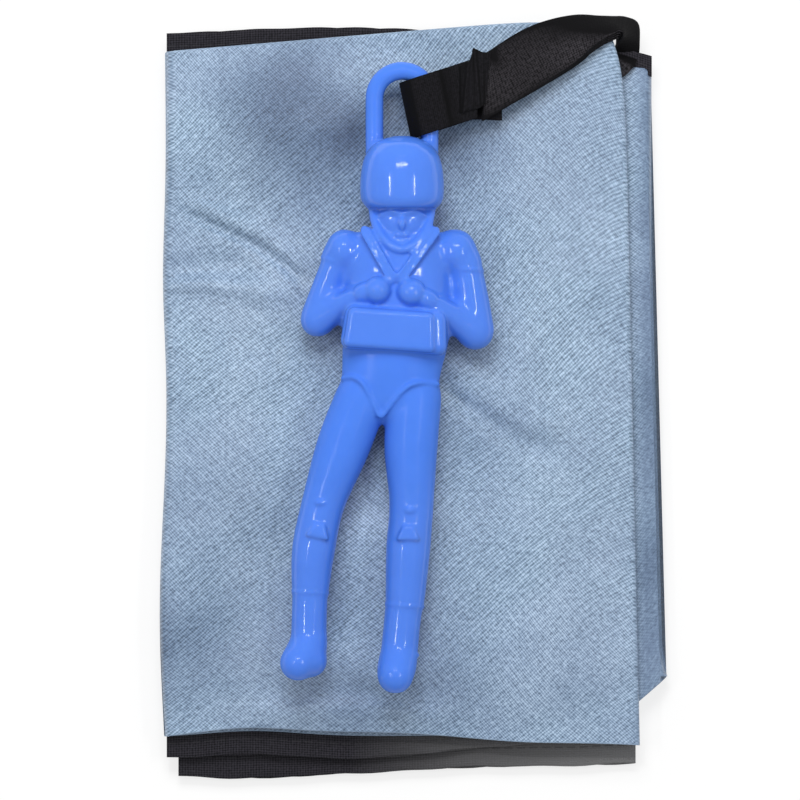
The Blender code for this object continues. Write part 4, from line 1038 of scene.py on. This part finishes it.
def hank_path(level):
    """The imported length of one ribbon: runs side by side with mitred turns, from the link on."""
    half = RIBBON_WIDTH / 2
    step = RIBBON_WIDTH + HANK_SIDE_GAP
    rows = []
    for run in range(HANK_RUNS):
        x = (run - (HANK_RUNS - 1) / 2) * step + PACKET_X
        way = 1 if run % 2 == 0 else -1
        first_rise = half if run else 0
        last_rise = half if run < HANK_RUNS - 1 else 0
        first = -way * (HANK_RUN / 2 - first_rise)
        last = way * (HANK_RUN / 2 - last_rise)
        for step_along in range(15):
            rise = {0: first_rise, 14: last_rise}.get(step_along, 0)
            y = lerp(first, last, step_along / 14) + PACKET_Y
            rows.append((Vector((x, y, level)), Vector((-way * half, rise, 0))))
    rows.reverse()
    return [middle for middle, _ in rows], [-half_width for _, half_width in rows]


STRAP_CURL = 0.0011
LINK_PITCH = 0.00018
LINK_THICKNESS = 0.00014


def ribbon_stations(i):
    """Places, half widths, thicknesses and lifts of one ribbon from its cut end to its last."""
    order = i - (RIBBON_COUNT - 1) / 2
    strap, strap_halves = strap_path(SEAM + Vector((0.0009, 0, 0)), CORNER)
    turn, turn_halves, squeezes = turn_path(CORNER)
    middles = strap + turn
    halves = strap_halves + turn_halves
    thickness = [RIBBON_THICKNESS] * len(strap)
    lift = [order * RIBBON_PITCH] * len(strap)
    thickness += [lerp(LINK_THICKNESS, RIBBON_THICKNESS, squeeze) for squeeze in squeezes]
    lift += [order * RIBBON_PITCH * squeeze for squeeze in squeezes]
    curl = [STRAP_CURL * math.sin(math.pi * k / len(strap)) for k in range(len(strap))]
    level = LEAF_BASES[2] + RIBBON_THICKNESS / 2 + i * RIBBON_PITCH
    rows = through(LINK_STATIONS, 3)
    for k, (x, y, z, heading, width_share) in enumerate(rows):
        rise = min(max((k - len(rows) + 9) / 9, 0), 1)
        middles.append(Vector((x, y, lerp(z, level, rise))))
        halves.append(tilted_half(math.radians(heading), RIBBON_WIDTH * width_share, 0.0))
        thickness.append(lerp(LINK_THICKNESS, RIBBON_THICKNESS, rise))
        lift.append(order * lerp(LINK_PITCH, 0, rise))
    hank, hank_halves = hank_path(level)
    middles += hank
    halves += hank_halves
    thickness += [RIBBON_THICKNESS] * len(hank)
    lift += [0.0] * len(hank)
    curl += [0.0] * (len(middles) - len(curl))
    return middles, halves, thickness, lift, curl


suspension = []
for i in range(RIBBON_COUNT):
    places, halves, thickness, lift, curl = ribbon_stations(i)
    piece = band(f"ribbon_{i + 1}", places, halves, thickness, RIBBON, lift, curl)
    suspension.append((piece, places))


# Sleeve round the bail, and the ribbons' sewn ends

SLEEVE_LENGTH = 0.0124
SLEEVE_SLOPE = math.radians(18)
SLEEVE_END_TILT = math.radians(12)
SLEEVE_WIDTH = 0.0095
SLEEVE_PROFILE = (
    (0.00, 0.72), (0.25, 0.72), (0.40, 1.02), (0.52, 1.38), (0.80, 1.38), (0.91, 0.98), (0.97, 0.50),
)
SEAM_LENGTH = 0.0030
SLEEVE_OUT = Vector((-math.cos(SLEEVE_SLOPE), -math.sin(SLEEVE_SLOPE), 0))


def make_sleeve():
    """The doubled ribbon that holds the bail: out under the wire, round, and back over it."""
    square = Vector((-math.sin(SLEEVE_END_TILT), math.cos(SLEEVE_END_TILT), 0)) * SLEEVE_WIDTH / 2
    upright = Vector((0, SLEEVE_WIDTH / 2 / math.cos(SLEEVE_SLOPE), 0))
    profile = [(along, -height) for along, height in SLEEVE_PROFILE] + [(1.0, 0.0)]
    profile += [(along, height) for along, height in reversed(SLEEVE_PROFILE)]
    middles, halves = [], []
    for along, height in through(profile, 6):
        middles.append(SEAM + SLEEVE_OUT * along * SLEEVE_LENGTH + Vector((0, 0, height * 0.0015)))
        halves.append(upright.lerp(square, min(along * SLEEVE_LENGTH / SEAM_LENGTH, 1.0)))
    return band("bail_sleeve_ribbon", middles, halves, RIBBON_THICKNESS, SLEEVE)


def make_seam_block():
    """The ribbons' ends, sewn together between the sleeve's two ends."""
    half = Vector((0, SLEEVE_WIDTH / 2, 0))
    middles = [SEAM + SLEEVE_OUT * SEAM_LENGTH * share for share in (0.0, 0.3, 0.7, 1.0)]
    return band("sewn_ribbon_ends", middles, [half] * 4, 0.0012, SLEEVE)


# The gathered ribbon over the seam and the cut end that shows under it: place of the middle,
# half width, and height
GATHER_STATIONS = (
    (0.0072, 0.05055, 0.0039, 0.01478),
    (0.0080, 0.05085, 0.0042, 0.01520),
    (0.0088, 0.05150, 0.0044, 0.01524),
    (0.0096, 0.05235, 0.0050, 0.01516),
    (0.0103, 0.05245, 0.0048, 0.01500),
    (0.0111, 0.05235, 0.0044, 0.01484),
    (0.0119, 0.05255, 0.0043, 0.01470),
)
TAIL_STATIONS = (
    (0.0086, 0.05020, 0.0046, 0.01240),
    (0.0100, 0.05040, 0.0047, 0.01236),
    (0.0118, 0.05045, 0.0048, 0.01228),
    (0.0132, 0.05025, 0.0047, 0.01222),
    (0.0141, 0.05005, 0.0045, 0.01218),
)


def make_gather(name, stations, waves):
    """A short end of ribbon over or under the seam, rippled and gathered."""
    middles, halves = [], []
    for k, (x, y, half_width, z) in enumerate(through(stations, 5)):
        ripple = 0.00005 * math.sin(k * 1.1) * waves
        middles.append(Vector((x, y, z + ripple)))
        halves.append(Vector((0.0004 * math.sin(k * 0.25) * waves, half_width, 0)))
    return band(name, middles, halves, RIBBON_THICKNESS, SLEEVE)


sleeve = make_sleeve()
seam_block = make_seam_block()
gathered_end = make_gather("gathered_ribbon_end", GATHER_STATIONS, 1.0)
cut_tail = make_gather("cut_ribbon_tail", TAIL_STATIONS, 0.3)


# Paratrooper

FIGURE_HEIGHT = 0.0919
FIGURE_BACK = 0.0097
HEAD_X = -0.00215 + PACKET_X
BAIL_TOP_Y = 0.0540 + PACKET_Y
BAIL_REACH = 0.0108
BAIL_WIRE = 0.0030
BAIL_WIDTH = 0.0121

# The forms of the moulding, as shares of its height. Places are across from the head's middle,
# down from the helmet's top and up from the back. The trunk's rows end with its half sizes.
TORSO_SHARES = (
    (-0.004, 0.150, 0.061, 0.036, 0.030),
    (-0.006, 0.171, 0.060, 0.072, 0.040),
    (-0.007, 0.200, 0.058, 0.092, 0.050),
    (-0.010, 0.312, 0.058, 0.097, 0.054),
    (-0.011, 0.376, 0.056, 0.098, 0.052),
    (-0.018, 0.412, 0.055, 0.091, 0.051),
    (-0.022, 0.450, 0.054, 0.089, 0.050),
    (-0.024, 0.480, 0.052, 0.086, 0.047),
    (-0.030, 0.514, 0.050, 0.050, 0.036),
)
# Raised lines round the short sleeves' hems, the boots' cuffs and insteps: place, radius and
# how far each is turned, in degrees
RINGS = (
    ("left_sleeve_hem", (-0.1185, 0.2265, 0.0540, 0.0276), -20.0),
    ("right_sleeve_hem", (0.1150, 0.2390, 0.0535, 0.0304), -4.0),
    ("left_boot_cuff", (-0.1650, 0.8190, 0.0430, 0.0326), -3.0),
    ("right_boot_cuff", (0.0045, 0.8425, 0.0430, 0.0342), -4.0),
    ("left_instep", (-0.1680, 0.9130, 0.0405, 0.0322), -8.0),
    ("right_instep", (-0.0040, 0.9330, 0.0405, 0.0335), 2.0),
)
RING_WIRE_SHARE = 0.0024
STRAP_FLAT_SHARE = 0.55

# Helmet: half of its outline from the crown down to inside the brim, as shares of the
# figure's height out from its middle and down from its top
HELMET_SHARES = (
    (0.0000, 0.000),
    (0.0300, 0.004),
    (0.0480, 0.013),
    (0.0600, 0.025),
    (0.0680, 0.039),
    (0.0735, 0.061),
    (0.0755, 0.086),
    (0.0748, 0.109),
    (0.0705, 0.121),
    (0.0620, 0.129),
    (0.0540, 0.127),
    (0.0000, 0.126),
)
HELMET_DEPTH_SHARE = 0.90
HELMET_MIDDLE_SHARE = 0.069

# Limbs, folds and piping: place and radius at points along each
LIMBS = (
    ("left_leg", (
        (-0.072, 0.468, 0.052, 0.048),
        (-0.105, 0.555, 0.052, 0.049),
        (-0.141, 0.658, 0.050, 0.040),
        (-0.159, 0.742, 0.046, 0.040),
        (-0.165, 0.818, 0.043, 0.0345),
    )),
    ("right_leg", (
        (0.024, 0.468, 0.052, 0.048),
        (0.016, 0.555, 0.052, 0.049),
        (0.017, 0.658, 0.050, 0.041),
        (0.011, 0.742, 0.046, 0.041),
        (0.005, 0.838, 0.043, 0.0362),
    )),
    ("left_boot", ((-0.1655, 0.830, 0.043, 0.0330), (-0.1680, 0.905, 0.040, 0.0330))),
    ("right_boot", ((0.0025, 0.850, 0.043, 0.0342), (-0.0050, 0.927, 0.040, 0.0342))),
    ("left_foot", (
        (-0.166, 0.908, 0.042, 0.0345),
        (-0.176, 0.930, 0.052, 0.0360),
        (-0.187, 0.945, 0.066, 0.0340),
    )),
    ("right_foot", (
        (-0.005, 0.930, 0.042, 0.0350),
        (-0.009, 0.950, 0.052, 0.0360),
        (-0.012, 0.968, 0.066, 0.0340),
    )),
    ("left_arm", (
        (-0.0980, 0.200, 0.056, 0.0330),
        (-0.1195, 0.232, 0.054, 0.0275),
        (-0.1360, 0.272, 0.050, 0.0270),
        (-0.1515, 0.328, 0.046, 0.0330),
    )),
    ("right_arm", (
        (0.0900, 0.2000, 0.056, 0.0340),
        (0.1130, 0.2365, 0.054, 0.0300),
        (0.1215, 0.2800, 0.050, 0.0330),
        (0.1310, 0.3490, 0.046, 0.0360),
    )),
    ("left_sleeve", ((-0.1040, 0.2000, 0.056, 0.0335), (-0.1165, 0.2175, 0.0545, 0.0300))),
    ("right_sleeve", ((0.0980, 0.2030, 0.056, 0.0355), (0.1135, 0.2300, 0.0545, 0.0325))),
    ("left_forearm", (
        (-0.1515, 0.3300, 0.048, 0.0325),
        (-0.1030, 0.3000, 0.078, 0.0205),
        (-0.0620, 0.2795, 0.103, 0.0165),
    )),
    ("right_forearm", (
        (0.1310, 0.3500, 0.048, 0.0355),
        (0.0860, 0.3200, 0.078, 0.0225),
        (0.0400, 0.2905, 0.103, 0.0165),
    )),
    ("left_cuff", ((-0.0700, 0.2830, 0.099, 0.0190), (-0.0620, 0.2795, 0.103, 0.0190))),
    ("right_cuff", ((0.0480, 0.2955, 0.099, 0.0190), (0.0400, 0.2905, 0.103, 0.0190))),
    ("left_groin", (
        (-0.1060, 0.4340, 0.074, 0.0045),
        (-0.0860, 0.4330, 0.091, 0.0045),
        (-0.0660, 0.4500, 0.099, 0.0045),
        (-0.0410, 0.5020, 0.092, 0.0045),
    )),
    ("right_groin", (
        (0.0640, 0.4450, 0.074, 0.0045),
        (0.0250, 0.4435, 0.099, 0.0045),
        (-0.0020, 0.4600, 0.101, 0.0045),
        (-0.0360, 0.5030, 0.092, 0.0045),
    )),
    ("chin_guard", (
        (-0.0515, 0.128, 0.070, 0.0095),
        (-0.0470, 0.158, 0.086, 0.0090),
        (-0.0360, 0.181, 0.098, 0.0085),
        (-0.0190, 0.198, 0.104, 0.0085),
        (0.0000, 0.204, 0.106, 0.0085),
        (0.0190, 0.198, 0.104, 0.0085),
        (0.0360, 0.181, 0.098, 0.0085),
        (0.0470, 0.158, 0.086, 0.0090),
        (0.0515, 0.128, 0.070, 0.0095),
    )),
    ("brow", (
        (-0.036, 0.143, 0.091, 0.0060),
        (-0.018, 0.136, 0.102, 0.0060),
        (0.000, 0.140, 0.106, 0.0055),
        (0.018, 0.136, 0.102, 0.0060),
        (0.036, 0.143, 0.091, 0.0060),
    )),
)
# The harness's shoulder straps, in the same way, laid on flat
STRAPS = (
    ("left_strap", (
        (-0.0670, 0.1690, 0.094, 0.0085),
        (-0.0430, 0.2120, 0.108, 0.0085),
        (-0.0180, 0.2560, 0.112, 0.0085),
    )),
    ("right_strap", (
        (0.0600, 0.1700, 0.094, 0.0085),
        (0.0300, 0.2120, 0.108, 0.0085),
        (-0.0020, 0.2555, 0.112, 0.0085),
    )),
)
# Rounded forms: place, then half sizes across, down and up
BALLS = (
    ("face", (0.000, 0.150, 0.060, 0.052, 0.054, 0.047)),
    ("nose", (0.000, 0.157, 0.106, 0.0070, 0.0140, 0.0095)),
    ("lips", (0.000, 0.1775, 0.102, 0.0140, 0.0045, 0.0055)),
    ("chin", (0.000, 0.191, 0.092, 0.0180, 0.0120, 0.0130)),
    ("left_eye", (-0.020, 0.1475, 0.0985, 0.0100, 0.0048, 0.0050)),
    ("right_eye", (0.020, 0.1475, 0.0985, 0.0100, 0.0048, 0.0050)),
    ("left_fist", (-0.0440, 0.2765, 0.110, 0.0245, 0.0245, 0.0220)),
    ("right_fist", (0.0165, 0.2800, 0.110, 0.0260, 0.0245, 0.0220)),
    ("left_bump", (-0.146, 0.6575, 0.086, 0.0110, 0.0070, 0.0070)),
    ("right_bump", (0.0145, 0.671, 0.0865, 0.0110, 0.0070, 0.0070)),
    ("left_heel", (-0.165, 0.941, 0.050, 0.0320, 0.0320, 0.0350)),
    ("right_heel", (0.000, 0.952, 0.046, 0.0270, 0.0300, 0.0360)),
    ("left_shoulder", (-0.104, 0.204, 0.056, 0.0340, 0.0380, 0.0380)),
    ("right_shoulder", (0.098, 0.206, 0.056, 0.0360, 0.0400, 0.0380)),
)
# The reserve pack, the raised panel on its front, and the knee pads: place and half sizes, then
# the corners' radius, how narrow the upper end is, and how far each is turned in degrees
BOXES = (
    ("pack", (-0.013, 0.347, 0.086, 0.0970, 0.0410, 0.0340), 0.018, 0.92, -4.0),
    ("panel", (-0.021, 0.348, 0.110, 0.0830, 0.0360, 0.0200), 0.010, 0.92, -4.0),
    ("left_knee", (-0.150, 0.708, 0.083, 0.0220, 0.0140, 0.0090), 0.005, 0.45, -12.0),
    ("right_knee", (0.011, 0.712, 0.084, 0.0220, 0.0140, 0.0090), 0.005, 0.45, 0.0),
)


def on_figure(across, down, up):
    return Vector((HEAD_X + across * FIGURE_HEIGHT, BAIL_TOP_Y - BAIL_REACH - down * FIGURE_HEIGHT,
                   FIGURE_BACK + up * FIGURE_HEIGHT))


def limb(points, steps=6, flatness=1):
    """A tapered round form through places and radii, with domed ends."""
    rows = through([(x, y, z / flatness, radius) for x, y, z, radius in points], steps)
    ends = []
    for end, inner in ((rows[0], rows[1]), (rows[-1], rows[-2])):
        out = Vector(end[:3] - inner[:3]).normalized()
        dome_rows = []
        for degrees in (22, 42, 60, 76):
            turn = math.radians(degrees)
            place = Vector(end[:3]) + out * end[3] * math.sin(turn)
            dome_rows.append((*place, end[3] * math.cos(turn)))
        ends.append(dome_rows)
    rows = ends[0][::-1] + [tuple(row) for row in rows] + ends[1]
    deselect()
    bpy.ops.curve.primitive_nurbs_path_add(location=(0, 0, 0))
    made = bpy.context.object
    spline = made.data.splines[0]
    spline.type = "POLY"
    spline.points.add(len(rows) - len(spline.points))
    widest = max(row[3] for row in rows)
    for point, row in zip(spline.points, rows):
        point.co = (*row[:3], 1)
        point.radius = row[3] / widest
    made.data.bevel_depth = widest
    made.data.bevel_resolution = 8
    made.data.use_fill_caps = True
    bpy.ops.object.convert(target="MESH")
    made = bpy.context.object
    made.scale = (1, 1, flatness)
    finish_place(made)
    return made


def ball(across, down, up, half_x, half_y, half_z):
    deselect()
    bpy.ops.mesh.primitive_uv_sphere_add(segments=48, ring_count=32, radius=1,
                                         location=on_figure(across, down, up))
    made = bpy.context.object
    made.scale = (half_x * FIGURE_HEIGHT, half_y * FIGURE_HEIGHT, half_z * FIGURE_HEIGHT)
    finish_place(made)
    return made


def ring_form(shares, turned):
    """A thin raised line round a limb."""
    deselect()
    bpy.ops.mesh.primitive_torus_add(
        major_segments=64, minor_segments=12, major_radius=shares[3] * FIGURE_HEIGHT,
        minor_radius=RING_WIRE_SHARE * FIGURE_HEIGHT, location=on_figure(*shares[:3]),
        rotation=(math.radians(90), 0, math.radians(turned)))
    made = bpy.context.object
    finish_place(made)
    return made


def torso_form():
    """The trunk: a ring of eight corners drawn out from the neck to the crotch, then rounded."""
    deselect()
    across, down, up, half_x, half_z = TORSO_SHARES[0]
    start = on_figure(across, down, up)
    bpy.ops.mesh.primitive_circle_add(vertices=8, radius=1, fill_type="NGON", location=start,
                                      rotation=(math.radians(90), math.radians(22.5), 0))
    made = bpy.context.object
    bpy.ops.object.transform_apply(location=True, rotation=True, scale=True)
    bpy.ops.object.mode_set(mode="EDIT")
    bpy.ops.mesh.select_all(action="SELECT")
    bpy.ops.transform.resize(value=(half_x * FIGURE_HEIGHT * 1.1, 1, half_z * FIGURE_HEIGHT * 1.1),
                             center_override=start)
    before = TORSO_SHARES[0]
    for row in TORSO_SHARES[1:]:
        place = on_figure(*row[:3])
        bpy.ops.mesh.extrude_region_move(
            TRANSFORM_OT_translate={"value": place - on_figure(*before[:3])})
        bpy.ops.transform.resize(value=(row[3] / before[3], 1, row[4] / before[4]),
                                 center_override=place)
        before = row
    bpy.ops.mesh.select_all(action="SELECT")
    bpy.ops.mesh.normals_make_consistent(inside=False)
    bpy.ops.object.mode_set(mode="OBJECT")
    round_off(made, 3)
    return made


def round_off(made, levels):
    activate(made)
    soften = made.modifiers.new("rounding", "SUBSURF")
    soften.levels = levels
    soften.render_levels = levels
    bpy.ops.object.modifier_apply(modifier=soften.name)


def box_form(shares, corner_share, taper_share, turned):
    """A box of the figure's kit, with rounded edges, narrower at its top and turned a little."""
    place = on_figure(*shares[:3])
    deselect()
    bpy.ops.mesh.primitive_cube_add(size=2, location=place)
    made = bpy.context.object
    made.scale = tuple(share * FIGURE_HEIGHT for share in shares[3:])
    finish_place(made)
    bpy.ops.object.mode_set(mode="EDIT")
    bpy.ops.mesh.select_mode(type="FACE")
    bpy.ops.mesh.select_all(action="DESELECT")
    bpy.ops.object.mode_set(mode="OBJECT")
    made.data.polygons.foreach_set("select", [face.normal.y > 0.9 for face in made.data.polygons])
    bpy.ops.object.mode_set(mode="EDIT")
    bpy.ops.transform.resize(value=(taper_share, 1, 1), center_override=place)
    bpy.ops.mesh.select_all(action="SELECT")
    bpy.ops.transform.rotate(value=-math.radians(turned), orient_axis="Z",
                             center_override=place)
    bpy.ops.object.mode_set(mode="OBJECT")
    edges = made.modifiers.new("edges", "BEVEL")
    edges.width = corner_share * FIGURE_HEIGHT
    edges.segments = 6
    bpy.ops.object.modifier_apply(modifier=edges.name)
    return made


def helmet_form():
    """The helmet: a disc at the crown drawn out ring by ring to the brim, turned under."""
    deselect()
    crown = on_figure(0, 0, HELMET_MIDDLE_SHARE)
    radius = HELMET_SHARES[1][0] * FIGURE_HEIGHT * 0.45
    bpy.ops.mesh.primitive_circle_add(vertices=40, radius=radius, fill_type="TRIFAN",
                                      location=crown, rotation=(math.radians(90), 0, 0))
    made = bpy.context.object
    bpy.ops.object.transform_apply(location=True, rotation=True, scale=True)
    bpy.ops.object.mode_set(mode="EDIT")
    bpy.ops.mesh.select_all(action="DESELECT")
    bpy.ops.object.mode_set(mode="OBJECT")
    for vertex in made.data.vertices:
        vertex.select = (vertex.co - crown).length > radius * 0.5
    bpy.ops.object.mode_set(mode="EDIT")
    bpy.ops.mesh.select_mode(type="EDGE")
    before = (radius / FIGURE_HEIGHT, 0.0)
    for out, down in through(HELMET_SHARES[1:-1], 4):
        place = on_figure(0, down, HELMET_MIDDLE_SHARE)
        bpy.ops.mesh.extrude_edges_move(
            TRANSFORM_OT_translate={"value": (0, (before[1] - down) * FIGURE_HEIGHT, 0)})
        share = out / before[0]
        bpy.ops.transform.resize(value=(share, 1, share), center_override=place)
        before = (out, down)
    bpy.ops.mesh.edge_face_add()
    bpy.ops.mesh.select_all(action="SELECT")
    bpy.ops.transform.resize(value=(1, 1, HELMET_DEPTH_SHARE), center_override=crown)
    bpy.ops.mesh.normals_make_consistent(inside=False)
    bpy.ops.object.mode_set(mode="OBJECT")
    return made


def bail_form():
    """The bent wire on the helmet, as wide as its two legs, with its roots inside the head."""
    radius = (BAIL_WIDTH - BAIL_WIRE) / 2
    root = BAIL_TOP_Y - BAIL_REACH - 0.0035
    points = [(HEAD_X - radius, root, BAIL_Z, BAIL_WIRE / 2)]
    for turn in np.linspace(math.pi, 0, 25):
        x, y = radius * math.cos(turn), radius * math.sin(turn) - radius
        points.append((HEAD_X + x, BAIL_TOP_Y + y, BAIL_Z, BAIL_WIRE / 2))
    points.append((HEAD_X + radius, root, BAIL_Z, BAIL_WIRE / 2))
    return limb(points, 1)


def melted(name, forms, voxel, softening):
    """Forms joined and melted into one skin with soft inner corners."""
    made = join_as(name, forms)
    finish_place(made)
    melt = made.modifiers.new("melt", "REMESH")
    melt.mode = "VOXEL"
    melt.voxel_size = voxel
    melt.use_smooth_shade = True
    bpy.ops.object.modifier_apply(modifier=melt.name)
    soften = made.modifiers.new("soften", "SMOOTH")
    soften.factor = 0.5
    soften.iterations = softening
    bpy.ops.object.modifier_apply(modifier=soften.name)
    return made


def limb_of(rows, flatness=1):
    return limb([(*on_figure(*row[:3]), row[3] * FIGURE_HEIGHT) for row in rows], 6, flatness)


BODY_FORMS = ("leg", "boot", "foot", "arm", "forearm", "sleeve", "heel", "shoulder")


def is_body(name):
    return name.split("_")[-1] in BODY_FORMS


def make_paratrooper():
    """The moulding: its body melted and smoothed first, then its details laid on."""
    body = [torso_form()]
    details = [helmet_form(), bail_form()]
    for name, rows in LIMBS:
        (body if is_body(name) else details).append(limb_of(rows))
    for name, row in BALLS:
        (body if is_body(name) else details).append(ball(*row))
    for name, rows in STRAPS:
        details.append(limb_of(rows, STRAP_FLAT_SHARE))
        for side in (-1, 1):
            details.append(limb_of([strap_edge(row, rows, side) for row in rows]))
    for name, row, *finish in BOXES:
        details.append(box_form(row, *finish))
    for name, row, turned in RINGS:
        details.append(ring_form(row, turned))
    made = melted("paratrooper_moulding", [melted("body", body, 0.00040, 24)] + details, 0.00028, 3)
    made.data.materials.clear()
    made.data.materials.append(PLASTIC)
    return made


def strap_edge(row, rows, side):
    """A point of the thin piping along one edge of a shoulder strap."""
    run = Vector(rows[-1][:2]) - Vector(rows[0][:2])
    aside = Vector((-run.y, run.x)).normalized() * side * row[3] * 0.82
    return row[0] + aside.x, row[1] + aside.y, row[2] + 0.0036, 0.0030


paratrooper = make_paratrooper()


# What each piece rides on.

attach(bottom_sheet, "packet_base")
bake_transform(middle_sheet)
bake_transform(top_sheet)
for piece, body, node in (
    (bottom_hem, "packet_base", "canopy_hem_bottom"), (middle_hem, "middle_leaf", "canopy_hem_middle"),
    (top_hem, "middle_leaf", "canopy_hem_top"), (corner_hem, "middle_leaf", "canopy_hem_corner"),
):
    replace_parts(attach(piece, body), node)
for piece, node, below, hems in (
    (bottom_sheet, "canopy_bottom_leaf", [], [bottom_hem]),
    (middle_sheet, "canopy_middle_leaf", ["canopy_bottom_leaf"], [middle_hem, top_hem, corner_hem]),
    (top_sheet, "canopy_top_leaf", ["canopy_middle_leaf"], []),
):
    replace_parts(piece, node)

for piece, node, slot in (
    (paratrooper, "paratrooper", "figure_plastic"), (sleeve, "bail_sleeve", "sleeve_ribbon"),
    (seam_block, "ribbon_seam", "sleeve_ribbon"),
):
    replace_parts(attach(piece, "figure"), node)
for piece in (gathered_end, cut_tail):
    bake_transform(piece)

# The ribbons take the place of their imported parts, the first also of the corner turn
for i, (piece, places) in enumerate(suspension):
    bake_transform(piece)
    nodes = [f"suspension_ribbon_{i + 1}", f"packed_ribbon_{i + 1}"]
    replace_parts(piece, *(nodes + ["ribbon_corner_turn"] if i == 0 else nodes))
